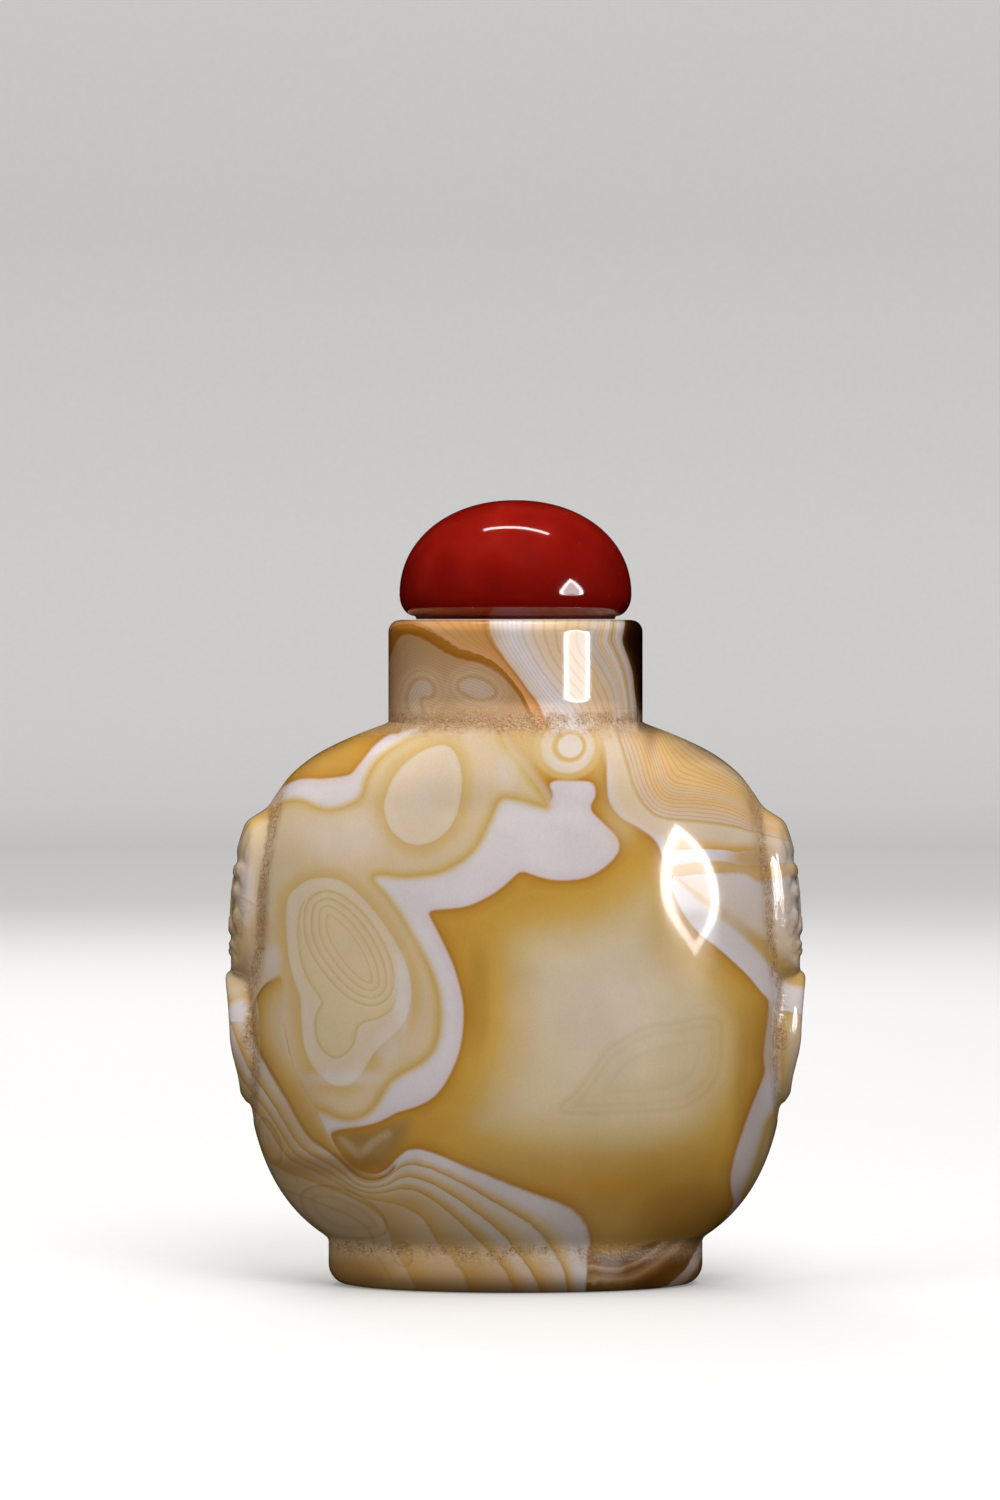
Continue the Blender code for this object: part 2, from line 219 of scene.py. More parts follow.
PALE_EDGE = (
    (820, 940), (782, 945), (772, 962), (785, 976), (791, 992), (790, 1008), (784, 1024),
    (782, 1050), (783, 1075), (782, 1098), (777, 1112), (769, 1122), (764, 1140), (758, 1160),
    (751, 1180), (744, 1200), (760, 1210), (840, 1100),
)
# Golden-rimmed eyes: the large double-lobed one and the egg. Then the large one's upper lobe, and
# two pale spots on the neck.
LARGE_EYE = (
    (285, 925), (285, 910), (288, 895), (296, 887), (307, 880), (320, 877), (335, 878), (348, 884),
    (360, 894), (372, 907), (384, 923), (396, 941), (406, 961), (411, 980), (412, 998),
    (409, 1014), (401, 1028), (389, 1040), (377, 1051), (368, 1065), (360, 1077), (349, 1086),
    (335, 1087), (322, 1079), (311, 1066), (304, 1050), (301, 1032), (300, 1012), (299, 998),
    (293, 980), (288, 962), (286, 943),
)
EGG = (
    (383, 806), (386, 822), (393, 834), (405, 843), (418, 846), (431, 843), (443, 836), (453, 825),
    (459, 811), (462, 795), (463, 778), (460, 762), (454, 750), (444, 744), (432, 746), (419, 752),
    (404, 763), (393, 777), (386, 792),
)
EYE_UPPER = (
    (304, 917), (308, 901), (320, 892), (334, 892), (351, 902), (368, 919), (382, 941), (391, 962),
    (394, 983), (388, 998), (374, 1006), (356, 1002), (339, 990), (324, 973), (312, 955),
    (305, 936),
)
NECK_EYE = (
    (458, 686), (462, 680), (472, 678), (484, 682), (493, 688), (494, 695), (484, 698), (472, 696),
    (463, 692),
)
NECK_PATCH = (
    (409, 700), (411, 688), (418, 681), (429, 682), (434, 692), (430, 698), (422, 697), (420, 704),
    (424, 712), (417, 715), (411, 711),
)
# Amber streak that runs from the left relief down between the first lines of the lower flow: its
# crisp left side, and the field that it lies in.
STREAK_SIDE = (
    (285, 962), (272, 978), (262, 988), (254, 1003), (252, 1022), (255, 1040), (262, 1057),
    (274, 1078), (287, 1100), (299, 1122), (310, 1138), (322, 1147), (335, 1157), (347, 1168),
    (359, 1178), (373, 1181), (386, 1177), (398, 1166), (410, 1160),
)
STREAK_FIELD = (
    (225, 990), (262, 982), (281, 974), (286, 990), (287, 1010), (286, 1030), (289, 1048),
    (294, 1062), (301, 1079), (311, 1097), (320, 1114), (328, 1131), (336, 1146), (346, 1158),
    (358, 1168), (370, 1173), (384, 1172), (396, 1162), (400, 1190), (373, 1200), (330, 1180),
    (290, 1150), (240, 1080), (222, 1030),
)
# Faint closed lines in the lower left, and the innermost ring of the large eye.
FAINT_OVALS = (
    ((262, 1118), (272, 1126), (280, 1142), (281, 1160), (272, 1166), (262, 1152), (256, 1134)),
    ((300, 1196), (318, 1186), (345, 1190), (368, 1202), (384, 1218), (386, 1234), (362, 1240),
     (330, 1236), (308, 1218)),
    ((392, 1248), (400, 1242), (410, 1248), (412, 1262), (404, 1268), (394, 1262)),
)
EYE_CORE = (
    (299, 912), (306, 899), (319, 891), (333, 892), (347, 901), (359, 913), (371, 929), (382, 947),
    (391, 964), (397, 981), (397, 997), (391, 1011), (378, 1019), (364, 1023), (357, 1030),
    (355, 1042), (347, 1054), (336, 1059), (325, 1054), (317, 1042), (314, 1027), (316, 1013),
    (321, 1004), (318, 996), (309, 983), (302, 967), (298, 949), (297, 929),
)
# Paler, faintly ruled field inside the honey, and the pointed shape in it.
PALE_HEART = (
    (516, 940), (545, 928), (585, 922), (622, 905), (644, 890), (655, 905), (668, 940), (685, 968),
    (706, 985), (725, 1005), (733, 1035), (730, 1070), (718, 1105), (697, 1130), (660, 1146),
    (610, 1150), (550, 1146), (505, 1136), (478, 1125), (486, 1098), (500, 1065), (508, 1030),
    (511, 990), (511, 960),
)
TEARDROP = (
    (560, 1112), (575, 1092), (592, 1068), (612, 1045), (640, 1030), (672, 1022), (702, 1017),
    (720, 1021), (723, 1045), (718, 1072), (704, 1095), (680, 1108), (645, 1113), (605, 1114),
)
# Smoky patch where the streak ends, and the paler mark across it.
SMOKY_MARK = ((341, 1140), (352, 1149), (358, 1157), (364, 1152), (374, 1142), (388, 1134))
SMOKY_PATCH = (
    (332, 1134), (350, 1131), (372, 1129), (388, 1124), (402, 1120), (412, 1120), (410, 1132),
    (402, 1146), (392, 1160), (378, 1168), (360, 1166), (344, 1156), (336, 1145),
)

# Families of bands that flow side by side, each line in order from the first to the last.
SHOULDER_FAN = (
    ((606, 690), (614, 722), (621, 745), (627, 765), (632, 784), (640, 800), (652, 813), (668, 819),
     (700, 822), (730, 826), (760, 833), (830, 850)),
    ((622, 690), (632, 722), (643, 745), (650, 765), (655, 783), (662, 795), (674, 800), (700, 801),
     (725, 805), (745, 814), (760, 824), (830, 845)),
    ((636, 690), (646, 722), (656, 745), (663, 765), (668, 779), (680, 785), (700, 788), (725, 794),
     (745, 804), (762, 818), (830, 835)),
    ((650, 690), (664, 730), (680, 750), (705, 768), (730, 781), (750, 795), (766, 812),
     (830, 825)),
    ((670, 690), (690, 728), (720, 750), (745, 772), (765, 795), (785, 812), (840, 825)),
)
RIGHT_STRIPS = (
    ((630, 800), (648, 810), (668, 819), (700, 822), (730, 826), (762, 832), (800, 836),
     (840, 840)),
    ((640, 830), (662, 835), (690, 837), (720, 837), (762, 838), (800, 844), (840, 848)),
    ((645, 852), (670, 850), (700, 849), (722, 850), (738, 852), (752, 850), (772, 852), (800, 858),
     (840, 860)),
    ((655, 870), (680, 866), (700, 863), (724, 862), (740, 866), (762, 866), (800, 862),
     (840, 866)),
    ((660, 885), (680, 877), (700, 873), (722, 872), (742, 871), (752, 875), (762, 880), (800, 872),
     (840, 872)),
    ((680, 880), (700, 898), (722, 914), (742, 930), (758, 945), (772, 962), (790, 980),
     (840, 990)),
    ((664, 790), (664, 825), (666, 860), (672, 885), (681, 908), (692, 925), (703, 936), (716, 946),
     (745, 972), (769, 1000), (790, 1012), (840, 1020)),
)
LOWER_FLOW = (
    ((283, 1020), (288, 1045), (292, 1062), (299, 1080), (309, 1098), (318, 1115), (325, 1131),
     (332, 1146), (341, 1158), (352, 1168), (365, 1174), (377, 1175), (388, 1169), (398, 1158),
     (408, 1151), (420, 1150), (440, 1156), (462, 1166), (490, 1177), (520, 1189), (548, 1199),
     (570, 1208), (584, 1222), (590, 1240), (588, 1262), (588, 1320)),
    ((247, 1020), (253, 1040), (261, 1058), (273, 1079), (286, 1101), (298, 1123), (309, 1139),
     (321, 1148), (334, 1157), (346, 1169), (358, 1180), (372, 1184), (386, 1179), (397, 1170),
     (409, 1165), (426, 1168), (446, 1176), (466, 1186), (490, 1200), (513, 1213), (532, 1226),
     (546, 1240), (556, 1256), (566, 1275), (570, 1320)),
    ((230, 1020), (240, 1050), (250, 1072), (262, 1089), (275, 1108), (288, 1130), (300, 1147),
     (313, 1157), (330, 1166), (346, 1177), (359, 1187), (373, 1189), (387, 1186), (399, 1179),
     (413, 1178), (431, 1184), (449, 1194), (468, 1207), (489, 1223), (505, 1237), (516, 1252),
     (530, 1270), (540, 1290), (541, 1320)),
    ((225, 1050), (240, 1077), (252, 1094), (266, 1111), (280, 1133), (291, 1151), (303, 1161),
     (322, 1170), (342, 1182), (360, 1192), (376, 1194), (391, 1191), (404, 1189), (419, 1192),
     (437, 1203), (456, 1219), (475, 1236), (488, 1250), (504, 1268), (514, 1290), (514, 1320)),
    ((225, 1075), (245, 1099), (259, 1115), (274, 1137), (287, 1157), (302, 1166), (321, 1175),
     (341, 1187), (359, 1197), (377, 1201), (396, 1204), (415, 1212), (428, 1224), (436, 1238),
     (446, 1252), (462, 1270), (470, 1290), (470, 1320)),
    ((225, 1110), (245, 1130), (262, 1152), (282, 1170), (308, 1180), (338, 1192), (362, 1203),
     (380, 1216), (389, 1232), (393, 1248), (405, 1268), (415, 1290), (415, 1320)),
)
FOOT_SWIRL = (
    ((590, 1256), (612, 1258), (632, 1254), (646, 1246), (656, 1236), (662, 1225)),
    ((592, 1266), (615, 1270), (638, 1262), (655, 1250), (668, 1240), (676, 1228)),
    ((600, 1285), (630, 1284), (655, 1272), (672, 1258), (685, 1245), (692, 1230)),
    ((640, 1296), (668, 1286), (684, 1272), (694, 1256), (702, 1240), (708, 1228)),
    ((660, 1302), (690, 1290), (704, 1274), (712, 1256), (718, 1240), (722, 1228)),
)
FOOT_CORNER = (
    (589, 1250), (604, 1254), (622, 1254), (640, 1248), (655, 1243), (690, 1240), (730, 1236),
    (735, 1310), (600, 1320), (586, 1300), (588, 1270),
)
NECK_FLOW = (
    ((370, 690), (383, 672), (390, 654), (396, 639), (404, 633), (415, 634), (430, 641), (445, 651),
     (460, 657), (478, 661), (495, 669), (510, 682), (524, 702), (534, 730)),
    ((372, 650), (384, 638), (392, 628), (400, 625), (412, 625), (426, 630), (445, 641), (460, 650),
     (478, 655), (495, 663), (510, 678), (525, 699), (537, 730)),
    ((487, 610), (488, 632), (492, 642), (499, 653), (508, 665), (518, 678), (528, 692), (538, 706),
     (548, 730)),
    ((521, 610), (520, 632), (524, 645), (532, 660), (543, 676), (556, 692), (570, 706),
     (588, 730)),
    ((600, 610), (597, 628), (592, 642), (598, 652), (606, 664), (614, 680), (619, 698),
     (622, 730)),
    ((620, 610), (618, 628), (617, 640), (622, 654), (627, 668), (630, 686), (632, 704),
     (634, 730)),
    ((627, 610), (625, 628), (623, 642), (628, 656), (633, 672), (635, 690), (637, 706),
     (638, 730)),
)

# View points past the outer lines of a family that count as one more of its levels, and how far
# down the view the lower flow begins.
POINTS_PER_LEVEL = 20.0
FLOW_START = 1022.0

# Soft stains over the bands: (across, down, half width, half height, strength). They fade from
# just inside their outline to this many times its size.
STAIN_REACH = 1.35
ORANGE_STAINS = (
    (320, 757, 50, 26, 0.5), (752, 858, 26, 15, 1.0), (478, 636, 24, 12, 0.5),
    (262, 812, 16, 8, 0.8), (777, 1140, 9, 32, 0.7), (258, 930, 14, 22, 0.6),
    (700, 1185, 60, 60, 0.3), (330, 1175, 60, 26, 0.35), (385, 1208, 60, 10, 0.3),
    (300, 1120, 30, 60, 0.45), (770, 1040, 12, 40, 0.5), (355, 1282, 60, 24, 0.9),
    (470, 1290, 130, 14, 0.35), (240, 940, 12, 60, 0.55), (700, 1290, 40, 20, 0.5),
)
BROWN_STAINS = (
    (650, 1268, 60, 22, 0.8), (345, 1276, 60, 22, 0.6), (480, 1287, 150, 22, 0.45),
    (262, 900, 6, 40, 0.35), (690, 1215, 60, 40, 0.4), (330, 1166, 70, 12, 0.45),
    (650, 680, 10, 70, 1.0), (610, 1180, 130, 40, 0.18), (725, 752, 50, 12, 0.35),
    (750, 1080, 20, 80, 0.3), (478, 1000, 12, 60, 0.25),
)
OLIVE_STAINS = (
    (300, 850, 22, 24, 0.8), (525, 745, 30, 30, 0.9), (345, 945, 60, 70, 0.35),
    (590, 1230, 70, 40, 0.25), (600, 745, 12, 40, 0.5), (540, 1165, 90, 24, 0.25),
    (622, 806, 20, 44, 0.8),
)
PALE_STAINS = (
    (246, 892, 9, 40, 0.85), (272, 960, 10, 16, 0.75), (785, 890, 14, 50, 0.4),
    (238, 1010, 8, 30, 0.5), (600, 1000, 80, 70, 0.3), (740, 905, 30, 35, 0.6),
    (610, 1265, 14, 14, 0.35), (340, 835, 50, 26, 0.35), (507, 772, 13, 20, 0.45),
    (402, 1000, 9, 44, 0.9), (345, 1078, 38, 9, 0.75), (388, 1044, 14, 20, 0.6),
)

# Knots round which the bands of the hidden back close: (across, height, half width, half height,
# level), in millimetres. The uneven seam where they meet the front's bands lies behind the middle
# by a mean distance and two waves, each (size, length), in millimetres.
BACK_KNOTS = (
    (-7.5, 33.0, 9.0, 11.0, 3.4), (11.0, 19.0, 9.0, 6.5, 2.6), (13.5, 38.5, 5.0, 5.0, 2.2),
    (-13.5, 13.5, 6.0, 4.5, 1.9), (1.5, 6.0, 5.0, 4.0, 1.3), (4.0, 50.0, 6.0, 3.0, 1.6),
)
SEAM_BEHIND = 3.3
SEAM_WAVES = ((2.2, 6.3), (0.7, 2.1))
SEAM_PHASE_ON_LEFT = 2.1

# The floor from its middle outwards, where it turns up into a backdrop: (height, radius).
FLOOR_PROFILE = (
    (0.0, 1.1), (0.01, 1.16), (0.04, 1.22), (0.09, 1.26), (0.16, 1.28), (1.6, 1.28),
)

# Soft lights that no reflection shows: (name, place, target, size, share of the key's power).
LIT_MIDDLE = (0.0, 0.0, 0.032)
SOFT_LIGHTS = (
    ("key_light", (0.13, -0.45, 0.48), LIT_MIDDLE, (0.34, 0.26), 1.0),
    ("top_light", (-0.02, -0.04, 0.5), LIT_MIDDLE, (0.5, 0.4), 0.75),
    ("left_light", (-0.5, -0.34, 0.3), LIT_MIDDLE, (0.3, 0.3), 0.36),
    ("right_light", (0.5, -0.3, 0.16), LIT_MIDDLE, (0.3, 0.3), 0.12),
    ("rear_light", (-0.1, 0.5, 0.4), LIT_MIDDLE, (0.3, 0.3), 0.6),
    ("back_light", (0.0, 0.8, 0.9), (0.0, 1.2, 0.2), (1.6, 0.6), 2.2),
)
# Lights that only reflections show: (name, place, target, size, power).
LEAF_GLINT = ("leaf_glint", (0.405, -0.262, 0.1), (0.014, -0.013, 0.033), (0.23, 0.2), 1.2)
STRIP_GLINT = ("strip_glint", (0.01, 0.06, 0.5), LIT_MIDDLE, (0.32, 0.03), 0.3)
# How wide the bright edge of the leaf-shaped glint is, as a share of its half width.
LEAF_RIM = 0.32


class BottleSettings(bpy.types.PropertyGroup):
    """Sizes and tones of the stone that a user would change."""

    columns: bpy.props.IntProperty(
        name="Columns", description="Upright edges of the first, coarse shape", default=92, min=48
    )
    amber: bpy.props.FloatVectorProperty(
        name="Amber", description="Honey of the stone", subtype="COLOR", size=3, min=0.0, max=1.0,
        default=(0.64, 0.37, 0.066),
    )
    milk: bpy.props.FloatVectorProperty(
        name="Milk", description="White of the bands", subtype="COLOR", size=3, min=0.0, max=1.0,
        default=(0.74, 0.68, 0.69),
    )
    beige: bpy.props.FloatVectorProperty(
        name="Beige", description="Between the bands", subtype="COLOR", size=3, min=0.0, max=1.0,
        default=(0.7, 0.55, 0.37),
    )
    gold: bpy.props.FloatVectorProperty(
        name="Gold", description="Thin lines", subtype="COLOR", size=3, min=0.0, max=1.0,
        default=(0.64, 0.42, 0.145),
    )
    polish: bpy.props.FloatProperty(
        name="Polish", description="Roughness of the polished stone", default=0.1, min=0.0, max=1.0
    )
    dirt: bpy.props.FloatProperty(
        name="Dirt", description="How much dirt sits in the hollows", default=1.0, min=0.0, max=1.0
    )


class StopperSettings(bpy.types.PropertyGroup):
    """Sizes and tones of the stopper and its cork."""

    red: bpy.props.FloatVectorProperty(
        name="Red", description="Stone of the cap", subtype="COLOR", size=3, min=0.0, max=1.0,
        default=(0.25, 0.0065, 0.0035),
    )
    diameter: bpy.props.FloatProperty(
        name="Diameter", description="Width of the cap", default=19.4 * MM, subtype="DISTANCE",
        unit="LENGTH",
    )
    height: bpy.props.FloatProperty(
        name="Height", description="Height of the cap", default=9.7 * MM, subtype="DISTANCE",
        unit="LENGTH",
    )


class StageSettings(bpy.types.PropertyGroup):
    """The floor, the lights and the camera."""

    floor_tone: bpy.props.FloatVectorProperty(
        name="Floor", description="Pale floor and backdrop", subtype="COLOR", size=3, min=0.0,
        max=1.0, default=(0.66, 0.65, 0.64),
    )
    key_power: bpy.props.FloatProperty(
        name="Key light", description="Power of the main light", default=2.42, unit="POWER"
    )
    sky: bpy.props.FloatProperty(
        name="Sky", description="Strength of the even light all round", default=0.16, min=0.0
    )


# Shape of the stone


def rounded(share, power):
    """The half width of a superellipse of half width 1 at shares of its half height."""
    return np.maximum(0.0, 1.0 - np.minimum(1.0, np.abs(share)) ** power) ** (1.0 / power)


def joined(first, second, cove):
    """The larger of two sizes, with a cove where they are nearly equal."""
    near = np.maximum(cove - np.abs(first - second), 0.0) / cove
    return np.maximum(first, second) + near * near * cove / 4.0


def eased(share):
    """A step from 0 to 1 with soft ends."""
    share = np.clip(share, 0.0, 1.0)
    return share * share * (3.0 - 2.0 * share)


def body_half(height, widest, neck, foot, power_above, power_below):
    """Half of the plain body's width or depth at each height."""
    rise = (SHOULDER_HEIGHT - BELLY_HEIGHT) / rounded(neck / widest, power_above)
    fall = (BELLY_HEIGHT - FOOT_HEIGHT) / rounded(foot / widest, power_below)
    upper = rounded((height - BELLY_HEIGHT) / rise, power_above)
    lower = rounded((BELLY_HEIGHT - height) / fall, power_below)
    return widest / 2.0 * np.where(height >= BELLY_HEIGHT, upper, lower)


def skin_half_sizes(height):
    """The stone's half width and half depth at each height, without the carving."""
    height = np.asarray(height, float)
    width = body_half(height, BODY_WIDTH, NECK_DIAMETER, FOOT_WIDTH, SHOULDER_POWER, LOWER_POWER)
    depth = body_half(
        height, BODY_DEPTH, NECK_DIAMETER, FOOT_DEPTH, SHOULDER_POWER_IN_DEPTH, LOWER_POWER_IN_DEPTH
    )
    over = np.maximum(0.0, height - (RIM_HEIGHT - RIM_ROUNDING))
    neck = NECK_DIAMETER / 2.0 - RIM_ROUNDING + np.sqrt(np.maximum(0.0, RIM_ROUNDING**2 - over**2))
    below = np.clip(SHOULDER_HEIGHT - NECK_COVE + COVE_EASE / 2.0 - height, 0.0, None)
    neck = neck - np.where(
        below < COVE_EASE, below**2 / (2.0 * COVE_EASE), below - COVE_EASE / 2.0
    )
    under = np.maximum(0.0, FOOT_ROUNDING - height)
    foot = np.sqrt(np.maximum(0.0, FOOT_ROUNDING**2 - under**2)) - FOOT_ROUNDING
    above = height >= BELLY_HEIGHT
    wide = np.where(
        above, joined(width, neck, NECK_COVE), joined(width, FOOT_WIDTH / 2.0 + foot, FOOT_COVE)
    )
    deep = np.where(
        above, joined(depth, neck, NECK_COVE), joined(depth, FOOT_DEPTH / 2.0 + foot, FOOT_COVE)
    )
    return wide, deep


def bump(across, above, half_width, half_height, relief):
    """A swelling with a level core and a soft skirt round an oval line."""
    near = np.hypot(across / half_width, above / half_height)
    return relief * eased((FEATURE_SKIRT - near) / (FEATURE_SKIRT - FEATURE_CORE))


def cut(distance, width=CUT_WIDTH, depth=CUT_DEPTH):
    """A fine graved line where a distance is near 0."""
    return depth * np.exp(-((distance / width) ** 2))


def strands(place, pitch):
    """Evenly spaced graved strands along a place, from 0 to 1."""
    return (1.0 - np.abs(np.sin(place * math.pi / pitch))) ** 1.5


def face_lines(across, above):
    """The graver's lines on the mask: lids, pupils, nostrils, lips, brow and mane strands."""
    side = np.abs(across)
    eye_x, eye_z = side - 0.37 * MASK_HALF_WIDTH, above - 0.05 * MASK_HALF_HEIGHT
    lid = np.hypot(eye_x / (0.9 * MM), eye_z / (0.66 * MM))
    lines = cut((lid - 1.0) * 0.75 * MM)
    lines = np.maximum(lines, cut(np.hypot(eye_x, eye_z), 0.2 * MM, 0.16 * MM))
    nostril = np.hypot(side - 0.2 * MASK_HALF_WIDTH, above + 0.39 * MASK_HALF_HEIGHT)
    lines = np.maximum(lines, cut(nostril, 0.24 * MM, 0.2 * MM))
    brow_x, brow_z = side - 0.38 * MASK_HALF_WIDTH, above - 0.29 * MASK_HALF_HEIGHT
    in_brow = bump(brow_x, brow_z, 0.42 * MASK_HALF_WIDTH, 0.09 * MASK_HALF_HEIGHT, 1.0)
    lines = np.maximum(lines, in_brow * 0.1 * MM * strands(side + 0.6 * brow_z, 0.85 * MM))
    in_mane = bump(across, above - 0.68 * MASK_HALF_HEIGHT, 0.56 * MASK_HALF_WIDTH,
                   0.19 * MASK_HALF_HEIGHT, 1.0)
    lines = np.maximum(lines, in_mane * 0.13 * MM * strands(across + 0.4 * MM, 0.95 * MM))
    for turn in CURL_TURNS:
        angle = math.radians(turn)
        from_x = side - (MASK_HALF_WIDTH - CURL_INSET) * math.sin(angle)
        from_z = above - (MASK_HALF_HEIGHT - CURL_INSET) * math.cos(angle)
        far = np.hypot(from_x, from_z)
        spiral = far / CURL_PITCH - np.arctan2(from_z, from_x) / (2.0 * math.pi)
        near = np.abs(spiral - np.round(spiral)) * CURL_PITCH
        lines = np.maximum(lines, np.where(far < CURL_RADIUS, cut(near, 0.15 * MM, 0.13 * MM), 0.0))
    lip = np.abs(above + 0.585 * MASK_HALF_HEIGHT + 0.12 * (side - 0.3 * MASK_HALF_WIDTH))
    in_lip = eased((0.62 * MASK_HALF_WIDTH - side) / (0.4 * MM))
    return np.maximum(lines, in_lip * cut(lip, 0.17 * MM, 0.16 * MM))


def mask_inside(across, above):
    """How far a place lies inside the mask's outline, less than 0 outside it."""
    place = (np.abs(across) / MASK_HALF_WIDTH) ** MASK_POWER
    place = place + (np.abs(above) / MASK_HALF_HEIGHT) ** MASK_POWER
    return (1.0 - place ** (1.0 / MASK_POWER)) * MASK_HALF_WIDTH


def mask_relief(across, above):
    """How far the mask stands out of the body."""
    inside = mask_inside(across, above)
    dome = MASK_DOME * (1.0 - (across / MASK_HALF_WIDTH) ** 2)
    beside, over = np.abs(across) / MASK_HALF_WIDTH, above / MASK_HALF_HEIGHT
    face = np.zeros_like(across)
    for side, rise, half_width, half_height, relief in FACE_FEATURES:
        face = np.maximum(face, bump(beside - side, over - rise, half_width, half_height, relief))
    for turn in CURL_TURNS:
        side = (MASK_HALF_WIDTH - CURL_INSET) * math.sin(math.radians(turn))
        rise = (MASK_HALF_HEIGHT - CURL_INSET) * math.cos(math.radians(turn))
        curl = bump(np.abs(across) - side, above - rise, CURL_RADIUS, CURL_RADIUS, CURL_RELIEF)
        face = np.maximum(face, curl)
    inner = eased((FACE_REACH - np.abs(across)) / FACE_FADE)
    face = FACE_SHARE * face - LINE_SHARE * face_lines(across, above)
    face = face * (0.15 + 0.85 * inner)
    return np.where(inside > 0.0, eased(inside / MASK_EDGE) * (MASK_STEP + dome + face), 0.0)


def ring_off(across, above):
    """The distance from the ring's own middle line."""
    near = np.hypot(across / RING_HALF_WIDTH, above / RING_HALF_HEIGHT)
    slope = np.hypot(across / RING_HALF_WIDTH**2, above / RING_HALF_HEIGHT**2)
    return np.abs(near * (near - 1.0) / np.maximum(slope, 1e-6))


def ring_relief(across, above):
    """How far the ring stands out of the body."""
    off = ring_off(across, above)
    share = eased(1.0 + above / RING_HALF_HEIGHT)
    height = RING_HEIGHT_AT_FOOT + (RING_HEIGHT_AT_MASK - RING_HEIGHT_AT_FOOT) * share
    band = height * (1.0 - np.minimum(1.0, off / (RING_THICKNESS / 2.0)) ** RING_POWER)
    return band - np.where(band > 0.1 * MM, cut(off - 0.6 * MM, 0.16 * MM, 0.08 * MM), 0.0)


def carving(across, height):
    """The whole relief on a narrow side."""
    return np.maximum(
        mask_relief(across, height - MASK_MIDDLE), ring_relief(across, height - RING_MIDDLE)
    )


def ground_band(across, height):
    """1 in the dull, hollowed ground close round the relief, 0 elsewhere."""
    mask = -mask_inside(across, height - MASK_MIDDLE)
    ring = ring_off(across, height - RING_MIDDLE) - RING_THICKNESS / 2.0
    near = np.minimum(mask, ring)
    return np.where(near > 0.0, eased((GROUND_WIDTH - near) / GROUND_FADE), 0.0)


def settled(points):
    """The exact place on the carved stone of points that lie near it, kept at their heights."""
    height = points[:, 2]
    wide, deep = skin_half_sizes(height)
    turn = np.arctan2(points[:, 1] / deep, points[:, 0] / wide)
    x, y = wide * np.cos(turn), deep * np.sin(turn)
    out_x, out_y = np.cos(turn) / wide, np.sin(turn) / deep
    length = np.hypot(out_x, out_y)
    relief = carving(y, height) - GROUND_SINK * ground_band(y, height)
    proud = np.where(np.abs(x) > BODY_WIDTH / 4.0, relief, 0.0)
    return np.column_stack((x + proud * out_x / length, y + proud * out_y / length, height))


# Drawing of the bands


def in_view(points):
    """Where the eye in front of the bottle sees points of the stone, in view points."""
    nearer = POINTS_AT_EYE / (EYE_DISTANCE + points[:, 1])
    across = AXIS_POINT + points[:, 0] * nearer
    down = EYE_POINT - (points[:, 2] - EYE_HEIGHT) * nearer
    return np.column_stack((across, down))


def smoothed(line, closed):
    """A line of a few points as a smooth one of many."""
    dots = np.array(line, float)
    count = len(dots)
    out = []
    for index in range(count if closed else count - 1):
        if closed:
            a, b, c, d = (dots[(index + k) % count] for k in (-1, 0, 1, 2))
        else:
            a, b, c, d = (dots[min(max(index + k, 0), count - 1)] for k in (-1, 0, 1, 2))
        for share in (0.0, 0.34, 0.67):
            s2, s3 = share * share, share**3
            out.append(
                0.5 * (2 * b + (c - a) * share + (2 * a - 5 * b + 4 * c - d) * s2
                       + (3 * b - a - 3 * c + d) * s3)
            )
    if not closed:
        out.append(dots[-1])
    return np.array(out)


def line_distance(places, line, closed):
    """The distance of places from a smooth line, less than 0 inside it or on its left."""
    dots = smoothed(line, closed)
    ends = np.roll(dots, -1, axis=0) if closed else dots[1:]
    best = np.full(len(places), 1e9)
    side = np.zeros(len(places))
    inside = np.zeros(len(places), bool)
    for start, end in zip(dots, ends):
        along = end - start
        size = float(along @ along) or 1e-9
        off = places - start
        share = np.clip((off @ along) / size, 0.0, 1.0)
        gap = off - share[:, None] * along
        far = np.einsum("ij,ij->i", gap, gap)
        if closed:
            crosses = (start[1] > places[:, 1]) != (end[1] > places[:, 1])
            rise = end[1] - start[1] or 1e-9
            at = start[0] + (places[:, 1] - start[1]) * along[0] / rise
            inside ^= crosses & (places[:, 0] < at)
        else:
            nearer = far < best
            side = np.where(nearer, along[0] * off[:, 1] - along[1] * off[:, 0], side)
        best = np.minimum(best, far)
    far = np.sqrt(best)
    if closed:
        return np.where(inside, -far, far)
    return np.where(side > 0.0, far, -far)


def nearest_outline(places, outlines):
    """The least signed distance of places from several closed outlines."""
    return np.minimum.reduce([line_distance(places, outline, True) for outline in outlines])


def family_level(places, lines):
    """Where places lie in a family of lines: 0 on the first, 1 on the second and so on."""
    far = [line_distance(places, line, False) for line in lines]
    passed = np.ones(len(places), bool)
    level = far[0] / POINTS_PER_LEVEL
    for index in range(len(lines) - 1):
        before, after = far[index], far[index + 1]
        passed = passed & (before > 0.0)
        share = np.clip(before / np.maximum(before - after, 1e-6), 0.0, 1.0)
        here = np.where(after > 0.0, 1.0 + after / POINTS_PER_LEVEL, share)
        level = np.where(passed, index + here, level)
        passed = passed & (after > 0.0)
    return level


def stain(places, stains):
    """Soft ovals of a stain, the strongest of them at each place."""
    best = np.zeros(len(places))
    for across, down, half_width, half_height, strength in stains:
        near = np.hypot((places[:, 0] - across) / half_width, (places[:, 1] - down) / half_height)
        best = np.maximum(best, strength * eased(STAIN_REACH - near))
    return best


